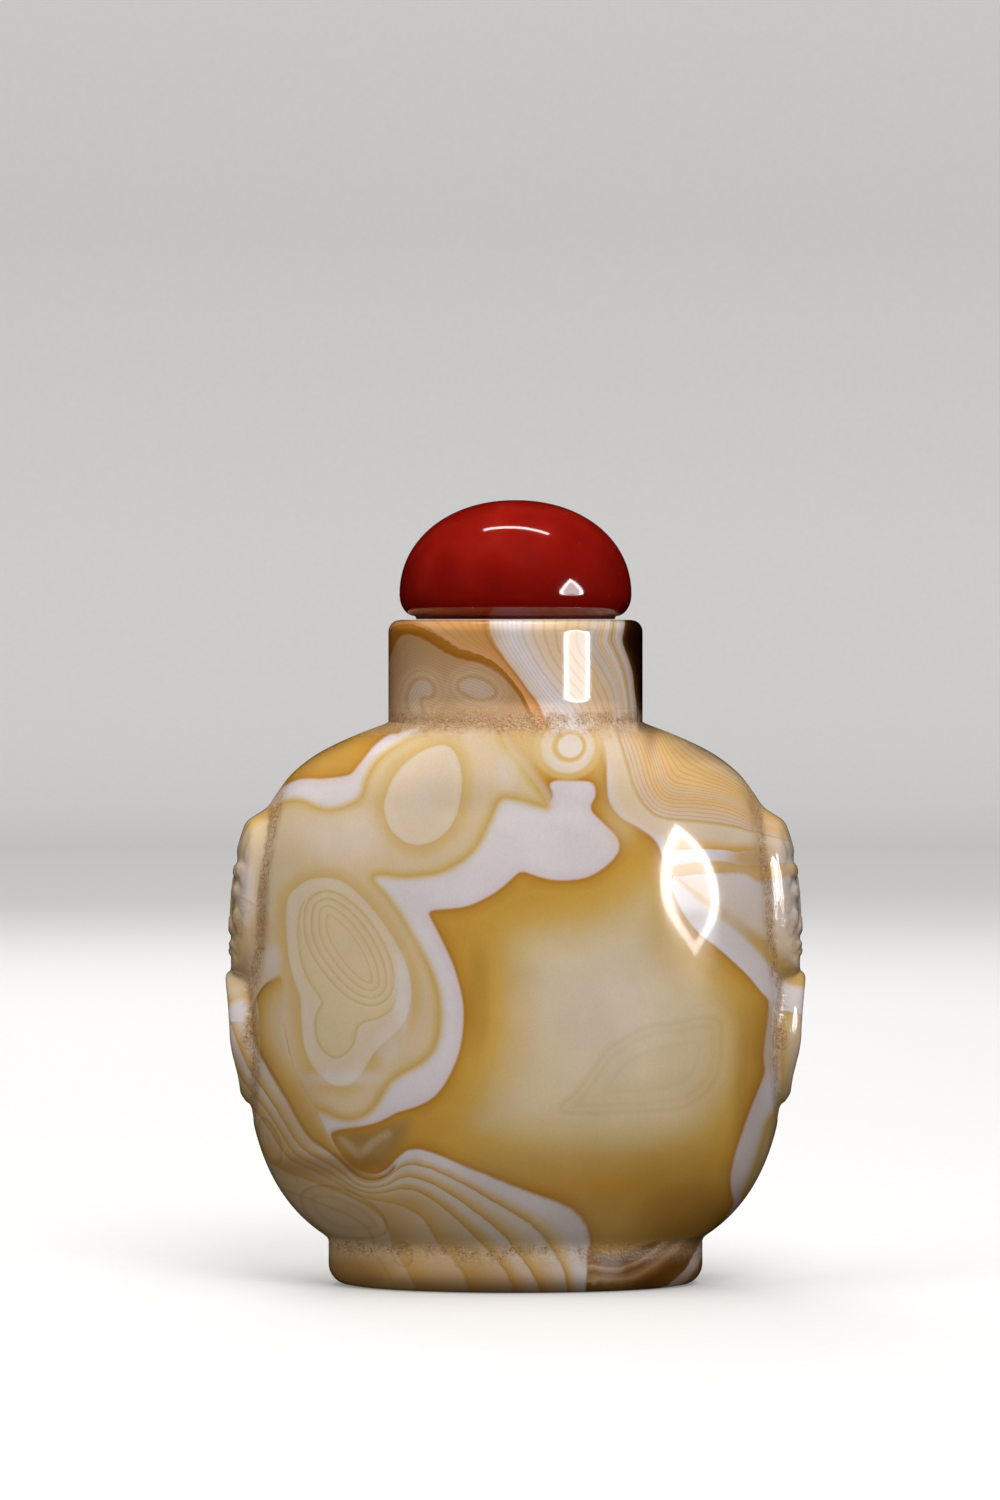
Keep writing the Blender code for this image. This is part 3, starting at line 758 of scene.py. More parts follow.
def back_level(points):
    """The level of the bands on the hidden side, which close round a few knots."""
    x, y, z = points[:, 0] / MM, points[:, 1] / MM, points[:, 2] / MM
    x = x + 1.1 * np.sin(z * 0.31 + 0.7) + 0.5 * np.sin(z * 0.83 + y * 0.4)
    z = z + 1.0 * np.sin(x * 0.27 + 1.9) + 0.45 * np.sin(x * 0.9 - y * 0.3)
    level = 0.25 + 0.018 * (z - 20.0) + 0.03 * y
    for across, height, half_width, half_height, rise in BACK_KNOTS:
        near = ((x - across) / half_width) ** 2 + ((z - height) / half_height) ** 2
        level = level + rise * np.exp(-near)
    return level


def paint(piece):
    """Lay the drawing of the bands on the stone, as values at its vertices."""
    mesh = piece.data
    points = np.zeros(len(mesh.vertices) * 3)
    mesh.vertices.foreach_get("co", points)
    points = points.reshape(-1, 3)
    for name, numbers in {**front_values(points), **other_values(points)}.items():
        layer = mesh.attributes.new(name, "FLOAT", "POINT")
        layer.data.foreach_set("value", np.asarray(numbers, np.float32))


def front_values(points):
    """What the drawing of the front gives at points of the stone, by name."""
    places = in_view(points)
    outlines = {
        "honey": (HONEY, SHOULDER_PATCH), "beige": (BEIGE_LEFT, PALE_EDGE),
        "eyes": (LARGE_EYE, EGG), "eye_lobes": (EYE_UPPER,), "eye_core": (EYE_CORE,),
        "neck_eye": (NECK_EYE, NECK_PATCH), "pale_heart": (PALE_HEART,),
        "teardrop": (TEARDROP,), "smoky": (SMOKY_PATCH,), "streak_field": (STREAK_FIELD,),
        "ovals": FAINT_OVALS,
    }
    families = {
        "strips": RIGHT_STRIPS, "flow": LOWER_FLOW, "swirl": FOOT_SWIRL,
        "fan": [line[::-1] for line in SHOULDER_FAN], "neck": [line[::-1] for line in NECK_FLOW],
    }
    stains = {
        "orange": ORANGE_STAINS, "brown": BROWN_STAINS, "olive": OLIVE_STAINS,
        "pale": PALE_STAINS,
    }
    values = {name: nearest_outline(places, lines) for name, lines in outlines.items()}
    values.update({name: family_level(places, lines) for name, lines in families.items()})
    values.update({name: stain(places, spots) for name, spots in stains.items()})
    near = np.hypot(*(places - DOUBLE_RING[0]).T)
    share = eased(near / DOUBLE_RING_REACH)
    values["double_ring"] = near * (1.0 - share) + np.hypot(*(places - DOUBLE_RING[1]).T) * share
    values["smoky_mark"] = np.abs(line_distance(places, SMOKY_MARK, False))
    values["streak"] = -line_distance(places, STREAK_SIDE, False)
    values["fan_edge"] = -line_distance(places, SHOULDER_FAN[0], False)
    values["strips_edge"] = np.minimum(
        line_distance(places, RIGHT_STRIPS[0], False),
        -line_distance(places, RIGHT_STRIPS[-1], False),
    )
    values["flow_edge"] = np.minimum(
        line_distance(places, LOWER_FLOW[0], False), places[:, 1] - FLOW_START
    )
    values["swirl_edge"] = -line_distance(places, FOOT_CORNER, True)
    return values


def other_values(points):
    """Where the neck and the hidden side begin, the bands behind, and the dirt, by name."""
    x, y, z = points[:, 0], points[:, 1], points[:, 2]
    phase = np.where(x > 0.0, 0.0, SEAM_PHASE_ON_LEFT)
    (long_size, long), (short_size, short) = SEAM_WAVES
    seam = SEAM_BEHIND + long_size * np.sin(z / (long * MM) + phase)
    seam = seam + short_size * np.sin(z / (short * MM) + 2.0 * phase)
    return {
        "neck_edge": (z - SHOULDER_HEIGHT) / MM, "behind": y / MM - seam,
        "back": back_level(points), "grime": grime(points),
    }


def grime(points):
    """Where dirt and pits sit: at the neck's root, round the reliefs and over the foot."""
    x, y, z = points[:, 0], points[:, 1], points[:, 2]
    neck, foot = (
        eased(1.0 - np.abs(z - middle) / reach) for middle, reach in (DIRT_AT_NECK, DIRT_AT_FOOT)
    )
    at_side = np.abs(x) > BODY_WIDTH / 4.0
    beside = np.where(at_side, ground_band(y, z), 0.0)
    cuts = np.clip(face_lines(y, z - MASK_MIDDLE) / DEEPEST_CUT, 0.0, 1.0)
    cuts = np.where(at_side, cuts * (mask_inside(y, z - MASK_MIDDLE) > 0.0), 0.0)
    return np.maximum.reduce([neck, 0.8 * foot, beside, 0.75 * cuts])


# Modelling helpers


def start_clean():
    """Leave edit mode and select nothing."""
    if bpy.context.mode != "OBJECT":
        bpy.ops.object.mode_set(mode="OBJECT")
    bpy.ops.object.select_all(action="DESELECT")


def start_loop(name, corners, size):
    """A new object of one open loop (height, half width, half depth), selected in edit mode."""
    start_clean()
    height, half_width, half_depth = size
    bpy.ops.mesh.primitive_circle_add(vertices=corners, radius=1.0, location=(0.0, 0.0, height))
    piece = bpy.context.object
    piece.name = name
    piece.scale = (half_width, half_depth, 1.0)
    bpy.ops.object.transform_apply(location=True, rotation=False, scale=True)
    bpy.ops.object.mode_set(mode="EDIT")
    bpy.ops.mesh.select_mode(type="EDGE")
    bpy.ops.mesh.select_all(action="SELECT")
    return piece


def round_loops(profile):
    """Round loops for loft from pairs of (height, radius)."""
    return [(height, radius, radius) for height, radius in profile]


def select_open_edges(piece, keep=lambda middle: True):
    """Select the open edges whose middles pass a test, in edit mode."""
    bpy.ops.mesh.select_all(action="DESELECT")
    maker = bmesh.from_edit_mesh(piece.data)
    for edge in maker.edges:
        if edge.is_boundary and keep((edge.verts[0].co + edge.verts[1].co) / 2.0):
            edge.select_set(True)
    bmesh.update_edit_mesh(piece.data)


def loft(sizes):
    """Extrude the selected loop through a list of (height, half width, half depth)."""
    for (low, wide, deep), (high, next_wide, next_deep) in zip(sizes, sizes[1:]):
        bpy.ops.mesh.extrude_edges_move()
        bpy.ops.transform.translate(value=(0.0, 0.0, high - low))
        bpy.ops.transform.resize(
            value=(next_wide / wide, next_deep / deep, 1.0), center_override=(0.0, 0.0, high)
        )


def end_edit(degrees, inside=False):
    """Turn all faces one way, leave edit mode, and smooth the edges flatter than an angle."""
    bpy.ops.mesh.select_all(action="SELECT")
    bpy.ops.mesh.normals_make_consistent(inside=inside)
    bpy.ops.object.mode_set(mode="OBJECT")
    bpy.ops.object.shade_smooth_by_angle(angle=math.radians(degrees))


def wear(piece, material):
    """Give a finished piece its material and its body."""
    piece.data.materials.clear()
    piece.data.materials.append(material)
    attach(piece, "root")


# Materials


def shade(colour, tint):
    """A colour with its red, green and blue each multiplied."""
    return tuple(min(1.0, part * by) for part, by in zip(colour, tint))


class Nodes:
    """The node tree of a material or a light, built node by node."""

    def __init__(self, owner, shader="Principled BSDF"):
        owner.use_nodes = True
        self.owner = owner
        self.tree = owner.node_tree
        self.shader = self.tree.nodes[shader]
        self.column = 0

    def add(self, kind, settings=(), **inputs):
        """A new node with its settings and inputs, each input a value or an output to link."""
        node = self.tree.nodes.new(kind)
        self.column += 1
        node.location = (-200 * (self.column % 12) - 300, -220 * (self.column // 12))
        for key, value in dict(settings).items():
            setattr(node, key, value)
        for key, value in inputs.items():
            self.put(node, key, value)
        return node

    def put(self, node, key, value):
        """Link or set one input by its number, as in i0, or by its name."""
        socket = node.inputs[int(key[1:]) if key[1:].isdigit() else key.replace("_", " ")]
        if isinstance(value, bpy.types.NodeSocket):
            self.tree.links.new(value, socket)
        elif socket.type == "RGBA":
            socket.default_value = (*value, 1.0)
        else:
            socket.default_value = value

    def finished(self, **inputs):
        """The material or light, once the shader's own inputs are linked or set."""
        for key, value in inputs.items():
            self.put(self.shader, key, value)
        return self.owner

    def value(self, name):
        """A value that is laid on the vertices."""
        return self.add("ShaderNodeAttribute", {"attribute_name": name}).outputs["Fac"]

    def place(self):
        """The place on the piece itself."""
        return self.add("ShaderNodeTexCoord").outputs["Object"]

    def math(self, operation, first, second=0.0, third=0.0):
        """A sum on numbers."""
        settings = {"operation": operation}
        return self.add("ShaderNodeMath", settings, i0=first, i1=second, i2=third).outputs[0]

    def plus(self, first, second):
        return self.math("ADD", first, second)

    def minus(self, first, second):
        return self.math("SUBTRACT", first, second)

    def times(self, first, second):
        return self.math("MULTIPLY", first, second)

    def thread(self, number, low, high):
        """A soft line that comes back at each whole number."""
        return self.step(self.math("SINE", self.times(number, 2.0 * math.pi)), low, high)

    def noise(self, size, detail=2.0, rough=0.5):
        """Noise with features of about a size in metres, from 0 to 1."""
        return self.add(
            "ShaderNodeTexNoise", Scale=1.0 / size, Detail=detail, Roughness=rough,
            Vector=self.place(),
        ).outputs["Fac"]

    def scattered(self, size):
        """The distance from scattered points that lie about a size in metres apart."""
        return self.add(
            "ShaderNodeTexVoronoi", Scale=1.0 / size, Vector=self.place()
        ).outputs["Distance"]

    def bumped(self, height, strength, distance):
        """The normal over a fine relief."""
        return self.add(
            "ShaderNodeBump", Height=height, Strength=strength, Distance=distance
        ).outputs["Normal"]

    def step(self, number, low, high):
        """0 at one value and 1 at another, with a soft step between."""
        settings = {"interpolation_type": "SMOOTHSTEP"}
        return self.add("ShaderNodeMapRange", settings, i0=number, i1=low, i2=high).outputs[0]

    def ramp(self, number, stops):
        """Colours along a number: stops of (number, colour) or (number, colour, tint)."""
        low, high = stops[0][0], stops[-1][0]
        share = self.add("ShaderNodeMapRange", i0=number, i1=low, i2=high).outputs[0]
        node = self.add("ShaderNodeValToRGB", i0=share)
        elements = node.color_ramp.elements
        while len(elements) > 1:
            elements.remove(elements[-1])
        for index, (at, colour, *tint) in enumerate(stops):
            colour = shade(colour, tint[0]) if tint else colour
            spot = (at - low) / (high - low)
            element = elements[0] if index == 0 else elements.new(spot)
            element.position = spot
            element.color = (*colour, 1.0)
        return node.outputs["Color"]

    def mix(self, share, first, second, way="MIX"):
        """One colour over another by a share."""
        settings = {"data_type": "RGBA", "blend_type": way}
        return self.add("ShaderNodeMix", settings, i0=share, i6=first, i7=second).outputs[2]

    def tinted(self, colour, tint):
        """A colour with its red, green and blue each multiplied."""
        return self.mix(1.0, colour, tint, "MULTIPLY")


class AgateNodes(Nodes):
    """The stone's node tree, with its tones and the noises that waver its bands."""

    def __init__(self, settings):
        super().__init__(bpy.data.materials.new("banded_agate"))
        self.amber, self.milk, self.beige, self.gold = (
            tuple(getattr(settings, name)) for name in ("amber", "milk", "beige", "gold")
        )
        self.deep_amber = shade(self.amber, (0.8, 0.72, 0.55))
        self.cream = shade(self.milk, (0.96, 0.9, 0.76))
        self.tan = shade(self.beige, (0.9, 0.82, 0.62))
        self.wave = self.minus(self.noise(3.2 * MM, 2.0), 0.5)
        self.fine = self.minus(self.noise(0.7 * MM, 3.0), 0.5)
        self.drift = self.plus(self.times(self.wave, 5.0), self.times(self.fine, 1.2))
        self.ripple = self.times(self.minus(self.noise(2.1 * MM, 3.0), 0.5), 0.35)

    def drifted(self, name, share=1.0):
        """A value from the vertices that wavers by a share of the drift."""
        return self.plus(self.value(name), self.times(self.drift, share))


def fields(n):
    """Amber fields with their pale heart, white beyond, and beige inside the golden line."""
    honey = n.drifted("honey", 0.25)
    heart = n.drifted("pale_heart", 1.5)
    inner = n.ramp(heart, (
        (-75, n.beige, (1.06, 1.1, 1.12)), (-34, n.beige, (1.05, 1.07, 0.98)),
        (-10, n.beige, (1.0, 0.93, 0.66)), (10, n.amber, (1.04, 1.12, 1.6)), (28, n.amber),
        (50, n.amber, (0.95, 0.9, 0.85)),
    ))
    drop = n.value("teardrop")
    drop_lines = n.ramp(n.plus(drop, n.times(n.wave, 8.0)), (
        (-40, (1.05, 1.03, 1.0)), (-27, (1.0, 1.0, 0.97)), (-24, (0.97, 0.955, 0.92)),
        (-19, (1.0, 1.0, 0.98)), (-12, (1.0, 0.99, 0.95)), (-9, (0.96, 0.94, 0.88)),
        (-4, (1.0, 0.99, 0.96)), (-1, (0.95, 0.92, 0.84)), (4, (1.02, 1.03, 1.05)),
        (12, (1.02, 1.02, 1.03)), (30, (1.0, 1.0, 1.0)),
    ))
    inner = n.tinted(inner, drop_lines)
    edge = n.ramp(honey, (
        (-14, (1.0, 1.0, 1.0)), (-5, (0.9, 0.84, 0.74)), (-1.5, (0.78, 0.66, 0.48)),
        (0.0, (0.85, 0.72, 0.5)), (1.0, (1.0, 1.0, 1.0)),
    ))
    inner = n.tinted(inner, edge)
    outer = n.ramp(honey, (
        (0.0, n.milk, (0.97, 0.84, 0.78)), (3.0, n.milk, (0.98, 0.93, 0.95)), (10, n.milk),
        (40, n.milk, (1.0, 1.0, 0.99)),
    ))
    colour = n.mix(n.step(honey, -1.6, 1.4), inner, outer)
    ground = n.drifted("beige", 0.3)
    lined = n.ramp(ground, (
        (-60, n.beige), (-22, n.beige, (1.02, 1.0, 1.0)), (-8, n.beige, (1.0, 0.97, 0.9)),
        (-3.5, n.gold, (1.04, 1.14, 1.5)), (0.0, n.gold, (0.98, 0.97, 0.95)),
        (2.5, n.gold, (1.05, 1.15, 1.6)), (7, n.cream), (15, n.milk),
    ))
    return n.mix(n.step(ground, 12.0, 0.0), colour, lined)


def eyes_over(n, colour):
    """The colour with the golden-rimmed eyes and the small double ring over it."""
    eyes = n.drifted("eyes", 0.22)
    rim = n.ramp(eyes, (
        (-36, n.cream, (0.98, 0.95, 0.86)), (-16, n.cream, (1.02, 0.95, 0.8)),
        (-5, n.cream, (1.04, 0.98, 0.86)), (-1.8, n.cream, (1.0, 0.94, 0.78)),
        (-0.2, n.tan, (1.0, 0.98, 0.84)), (2.0, n.gold, (1.04, 1.08, 1.3)),
        (6.0, n.gold, (1.06, 1.14, 1.6)), (14, n.beige, (0.99, 0.96, 0.82)), (26, n.beige),
    ))
    colour = n.mix(n.step(eyes, 22.0, 6.0), colour, rim)
    core = n.drifted("eye_core", 0.15)
    rings = n.ramp(core, (
        (-16, n.beige, (1.02, 1.04, 0.96)), (-7, n.beige, (1.02, 1.04, 0.98)),
        (-3.0, n.beige, (1.0, 1.0, 0.86)), (-0.8, n.tan, (1.02, 1.02, 1.04)),
        (1.0, n.beige, (1.04, 1.06, 1.1)), (4.0, n.cream, (1.01, 1.01, 1.03)),
    ))
    colour = n.mix(n.step(core, 4.5, 1.0), colour, rings)
    lobes = n.drifted("eye_lobes", 0.15)
    lobe_rings = n.ramp(lobes, (
        (-30, n.beige, (1.03, 1.05, 1.0)), (-24, n.beige, (1.02, 1.03, 0.94)),
        (-22.5, n.tan, (1.06, 1.07, 1.08)), (-20.5, n.beige, (1.04, 1.07, 1.08)),
        (-16.5, n.beige, (1.01, 1.01, 0.9)), (-15, n.tan, (1.03, 1.03, 1.0)),
        (-13, n.beige, (1.04, 1.07, 1.1)), (-9.5, n.beige, (1.01, 1.01, 0.92)),
        (-7.5, n.tan, (1.02, 1.02, 0.96)), (-5.5, n.beige, (1.04, 1.07, 1.12)),
        (-2.0, n.beige, (1.0, 1.0, 0.9)), (0.0, n.tan, (1.02, 1.0, 0.94)),
        (2.0, n.beige, (1.05, 1.08, 1.14)), (5.0, n.beige, (1.02, 1.04, 1.0)),
    ))
    colour = n.mix(n.step(lobes, 4.0, 1.5), colour, lobe_rings)
    ring = n.plus(n.value("double_ring"), n.times(n.drift, 0.5))
    ring_tones = n.ramp(ring, (
        (0, n.cream), (11, n.cream), (13, n.gold), (15, n.gold), (18, n.cream),
        (25, n.cream, (0.99, 0.95, 0.85)), (28, n.gold, (1.0, 1.02, 1.2)), (31, n.gold),
        (37, n.beige, (1.0, 0.95, 0.7)),
    ))
    return n.mix(n.step(ring, 36.0, 30.5), colour, ring_tones)


def flows_over(n, colour):
    """The colour with the right edge's strips and the lower flow over it."""
    strips = n.plus(n.value("strips"), n.times(n.fine, 0.1))
    strip_tones = n.ramp(strips, (
        (0.0, n.beige, (1.1, 0.98, 0.78)), (0.25, n.beige, (1.14, 1.04, 0.86)),
        (0.45, n.tan, (1.08, 0.86, 0.6)), (0.6, n.beige, (1.15, 1.04, 0.85)),
        (0.95, (0.72, 0.47, 0.2)), (1.6, (0.7, 0.43, 0.15)), (1.97, (0.66, 0.38, 0.12)),
        (2.03, n.milk), (2.85, n.milk, (0.98, 0.95, 0.92)), (3.0, (0.66, 0.44, 0.17)),
        (3.7, (0.64, 0.4, 0.14)), (4.0, (0.6, 0.37, 0.13)), (4.1, n.milk, (0.95, 0.9, 0.82)),
        (4.8, n.beige, (1.08, 1.06, 1.1)), (4.93, n.gold, (1.0, 0.95, 0.9)),
        (5.06, n.gold, (1.0, 1.0, 1.2)), (5.25, n.milk, (0.98, 0.94, 0.9)), (6.0, n.milk),
    ))
    colour = n.mix(n.step(n.value("strips_edge"), -1.5, 1.5), colour, strip_tones)
    flow = n.plus(n.value("flow"), n.times(n.fine, 0.12))
    flow_tones = n.ramp(flow, (
        (0.0, n.gold, (0.8, 0.68, 0.5)), (0.05, n.milk, (0.97, 0.86, 0.78)), (0.15, n.milk),
        (0.5, n.milk, (0.99, 0.95, 0.92)), (0.8, n.beige, (1.0, 0.92, 0.78)),
        (0.95, n.gold, (0.98, 0.88, 0.85)), (1.0, n.gold, (0.76, 0.72, 0.6)),
        (1.06, n.cream, (0.99, 0.96, 0.94)), (1.3, n.cream, (1.0, 0.97, 0.93)),
        (1.7, n.beige, (0.98, 0.87, 0.66)), (1.95, n.gold, (0.98, 0.86, 0.74)),
        (2.0, n.gold, (0.76, 0.7, 0.55)), (2.06, n.cream, (0.97, 0.93, 0.9)),
        (2.35, n.cream, (0.98, 0.94, 0.88)), (2.75, n.beige, (0.95, 0.8, 0.52)),
        (2.96, n.gold, (0.96, 0.86, 0.72)), (3.0, n.gold, (0.74, 0.68, 0.5)),
        (3.07, n.beige, (0.98, 0.94, 0.92)), (3.4, n.beige, (0.95, 0.84, 0.66)),
        (3.94, n.gold, (0.98, 0.92, 0.85)), (4.0, n.gold, (0.84, 0.74, 0.6)),
        (4.07, n.beige, (0.98, 0.92, 0.86)), (4.5, n.beige, (0.93, 0.8, 0.6)),
        (4.94, n.gold, (0.96, 0.9, 0.86)), (5.0, n.tan, (0.9, 0.82, 0.7)),
        (5.08, n.beige, (0.98, 0.93, 0.84)), (5.8, n.beige, (0.96, 0.88, 0.72)),
        (5.9, n.tan, (0.95, 0.88, 0.8)), (6.0, n.beige, (0.97, 0.9, 0.76)),
        (9.0, n.beige, (0.95, 0.86, 0.66)),
    ))
    return n.mix(n.step(n.value("flow_edge"), -1.2, 1.2), colour, flow_tones)


def smoke_over(n, colour):
    """The colour with the smoky patch and the amber streak over it."""
    smoky = n.drifted("smoky", 1.0)
    smoke = n.ramp(smoky, (
        (-18, (0.42, 0.26, 0.1)), (-8, (0.38, 0.22, 0.075)), (-1, (0.4, 0.22, 0.06)),
        (8, (0.5, 0.29, 0.07)),
    ))
    mark = n.times(n.step(n.value("smoky_mark"), 7.0, 0.5), 0.6)
    smoke = n.mix(mark, smoke, (0.6, 0.46, 0.29))
    colour = n.mix(n.times(n.step(smoky, 9.0, -12.0), 0.95), colour, smoke)
    streak = n.drifted("streak", 0.15)
    streak_tones = n.ramp(streak, (
        (-0.8, (0.44, 0.26, 0.1)), (0.5, (0.38, 0.19, 0.045)), (3, (0.54, 0.32, 0.09)),
        (8, n.amber, (1.0, 1.05, 1.6)), (18, n.beige, (1.0, 0.92, 0.66)), (30, n.beige),
    ))
    in_field = n.step(n.value("streak_field"), 1.0, -5.0)
    in_streak = n.times(n.step(streak, -1.2, 0.4), in_field)
    return n.mix(in_streak, colour, streak_tones)


def swirls_over(n, colour):
    """The colour with the foot's swirl and the shoulder's fan over it."""
    swirl = n.plus(n.value("swirl"), n.times(n.fine, 0.25))
    swirl_tones = n.ramp(swirl, (
        (-0.5, n.amber, (0.75, 0.7, 0.6)), (0.3, (0.2, 0.085, 0.012)), (0.8, (0.3, 0.14, 0.04)),
        (1.0, n.beige, (1.0, 0.92, 0.84)), (1.3, (0.3, 0.15, 0.04)),
        (1.7, n.beige, (0.9, 0.8, 0.7)), (2.0, (0.34, 0.18, 0.05)), (2.3, (0.22, 0.1, 0.02)),
        (2.95, (0.22, 0.1, 0.02)), (3.05, n.milk), (3.4, n.milk, (0.9, 0.8, 0.7)),
        (3.6, (0.26, 0.12, 0.03)), (4.0, n.beige, (0.9, 0.8, 0.7)), (4.4, (0.26, 0.12, 0.03)),
    ))
    colour = n.mix(n.step(n.value("swirl_edge"), -2.0, 2.0), colour, swirl_tones)
    fan = n.value("fan")
    fan_run = n.plus(n.times(fan, 5.0), n.times(n.ripple, 1.2))
    fan_line = n.thread(fan_run, 0.35, 1.0)
    fan_base = n.ramp(n.plus(fan, n.ripple), (
        (0.0, n.gold, (1.04, 1.06, 1.3)), (0.15, n.cream, (1.0, 0.92, 0.78)),
        (0.5, n.cream, (1.02, 0.88, 0.66)), (1.0, n.beige, (1.1, 0.9, 0.6)),
        (1.6, n.cream, (1.02, 0.86, 0.6)), (2.2, n.beige, (1.1, 0.9, 0.56)),
        (2.8, (0.72, 0.48, 0.19)), (3.3, n.beige, (1.05, 0.95, 0.75)), (4.2, (0.5, 0.43, 0.36)),
    ))
    fan_tones = n.mix(n.times(fan_line, 0.6), fan_base, shade(n.tan, (0.98, 0.76, 0.5)))
    fan_tones = n.tinted(fan_tones, (0.93, 0.92, 0.96))
    fan_edge = n.value("fan_edge")
    colour = n.mix(n.step(fan_edge, -24.0, -12.0), colour, shade(n.cream, (1.0, 0.93, 0.8)))
    return n.mix(n.step(fan_edge, -3.0, 0.5), colour, fan_tones)


def neck_over(n, colour):
    """The colour with the neck's bands, cut at another depth than the shoulder's, and painted shade
    on one of its milk bands.
    """
    neck = n.plus(n.value("neck"), n.times(n.fine, 0.12))
    run = n.times(n.value("neck"), 7.0)
    neck_line = n.thread(n.plus(run, n.times(n.ripple, 1.5)), 0.3, 1.0)
    neck_tones = n.ramp(neck, (
        (-1.5, (0.5, 0.32, 0.18)), (-0.12, (0.48, 0.28, 0.13)), (-0.02, (0.34, 0.13, 0.02)),
        (0.1, (0.36, 0.13, 0.014)), (0.85, (0.42, 0.165, 0.022)), (0.97, (0.4, 0.14, 0.02)),
        (1.05, (0.66, 0.36, 0.15)), (1.8, (0.64, 0.29, 0.09)), (1.95, (0.5, 0.19, 0.04)),
        (2.05, (0.6, 0.36, 0.16)), (2.12, n.milk, (0.98, 0.86, 0.74)), (2.7, n.milk),
        (3.0, n.milk, (1.0, 0.96, 0.92)), (3.3, n.beige, (1.12, 1.06, 1.06)),
        # Painted shade: the milk band at 4.05 is darker.
        (3.7, n.beige, (1.08, 0.98, 0.88)), (4.05, n.milk, (0.88, 0.82, 0.74)),
        (4.3, n.beige, (1.1, 1.0, 0.8)), (4.5, n.milk), (4.75, n.tan, (1.0, 0.9, 0.7)),
        (5.0, n.milk, (0.96, 0.92, 0.86)), (5.8, n.milk, (0.7, 0.6, 0.5)),
        (5.95, (0.12, 0.045, 0.008)), (6.2, (0.03, 0.009, 0.003)), (6.6, (0.015, 0.004, 0.002)),
    ))
    neck_eye = n.drifted("neck_eye", 1.3)
    neck_spots = n.ramp(neck_eye, (
        (-7, n.milk, (0.9, 0.86, 0.8)), (-1.5, n.milk, (0.92, 0.84, 0.74)),
        (0.8, (0.52, 0.32, 0.14)), (2.5, (0.56, 0.36, 0.17)), (5, (0.66, 0.52, 0.38)),
        (8, (0.62, 0.44, 0.29)), (9.5, (0.54, 0.35, 0.19)), (11, (0.64, 0.48, 0.34)),
        (15, (0.6, 0.42, 0.27)), (16.5, (0.55, 0.36, 0.2)), (18, (0.62, 0.45, 0.31)),
    ))
    in_spots = n.times(n.step(neck_eye, 20.0, 8.0), 0.42)
    neck_tones = n.mix(in_spots, neck_tones, neck_spots)
    darker = n.tinted(neck_tones, (0.84, 0.7, 0.52))
    lined_neck = n.mix(n.times(neck_line, 0.5), neck_tones, darker)
    return n.mix(n.step(n.value("neck_edge"), -0.6, 0.6), colour, lined_neck)


def stains_over(n, colour):
    """The colour with the faint closed lines and the stains over it."""
    ovals = n.plus(n.value("ovals"), n.times(n.drift, 0.3))
    oval_lines = n.ramp(ovals, (
        (-14, (1.0, 1.0, 1.0)), (-11, (0.93, 0.89, 0.8)), (-8, (1.02, 1.02, 1.04)),
        (-3, (1.0, 0.98, 0.94)), (0, (0.88, 0.8, 0.66)), (1.5, (1.03, 1.04, 1.08)),
        (6, (1.0, 1.0, 1.0)),
    ))
    colour = n.tinted(colour, oval_lines)
    orange = n.mix(0.85, colour, (0.56, 0.31, 0.085))
    colour = n.mix(n.times(n.value("orange"), 0.95), colour, orange)
    colour = n.mix(n.times(n.value("olive"), 0.6), colour, (0.68, 0.53, 0.29))
    colour = n.mix(n.value("brown"), colour, n.tinted(colour, (0.42, 0.26, 0.12)))
    return n.mix(n.times(n.value("pale"), 0.7), colour, n.milk)


def back_over(n, colour):
    """The colour with the hidden side's bands over it."""
    back = n.plus(n.value("back"), n.times(n.wave, 0.22))
    back_tones = n.ramp(back, (
        (-0.4, n.beige), (0.1, n.amber, (1.05, 1.1, 1.3)), (0.45, n.amber), (0.58, n.deep_amber),
        (0.6, n.milk, (0.98, 0.86, 0.8)), (0.64, n.milk), (0.86, n.milk), (0.95, n.gold),
        (1.05, n.beige), (1.3, n.beige, (1.02, 1.0, 0.98)), (1.42, n.gold), (1.5, n.cream),
        (1.56, n.milk), (1.78, n.milk), (1.84, n.tan), (1.9, n.cream), (2.1, n.beige),
        (2.15, n.tan), (2.2, n.cream), (2.5, n.beige), (2.56, n.tan), (2.62, n.cream),
        (3.1, n.beige, (1.0, 1.0, 0.85)), (3.2, n.tan), (3.3, n.beige),
    ))
    behind = n.plus(n.value("behind"), n.times(n.wave, 1.5))
    seam_tones = n.ramp(behind, (
        (0.0, n.gold, (1.0, 0.95, 0.85)), (0.25, n.milk, (0.99, 0.92, 0.86)), (0.9, n.milk),
        (1.15, n.gold), (1.4, n.beige),
    ))
    back_tones = n.mix(n.step(behind, 1.1, 1.7), seam_tones, back_tones)
    return n.mix(n.step(behind, -0.1, 0.1), colour, back_tones)


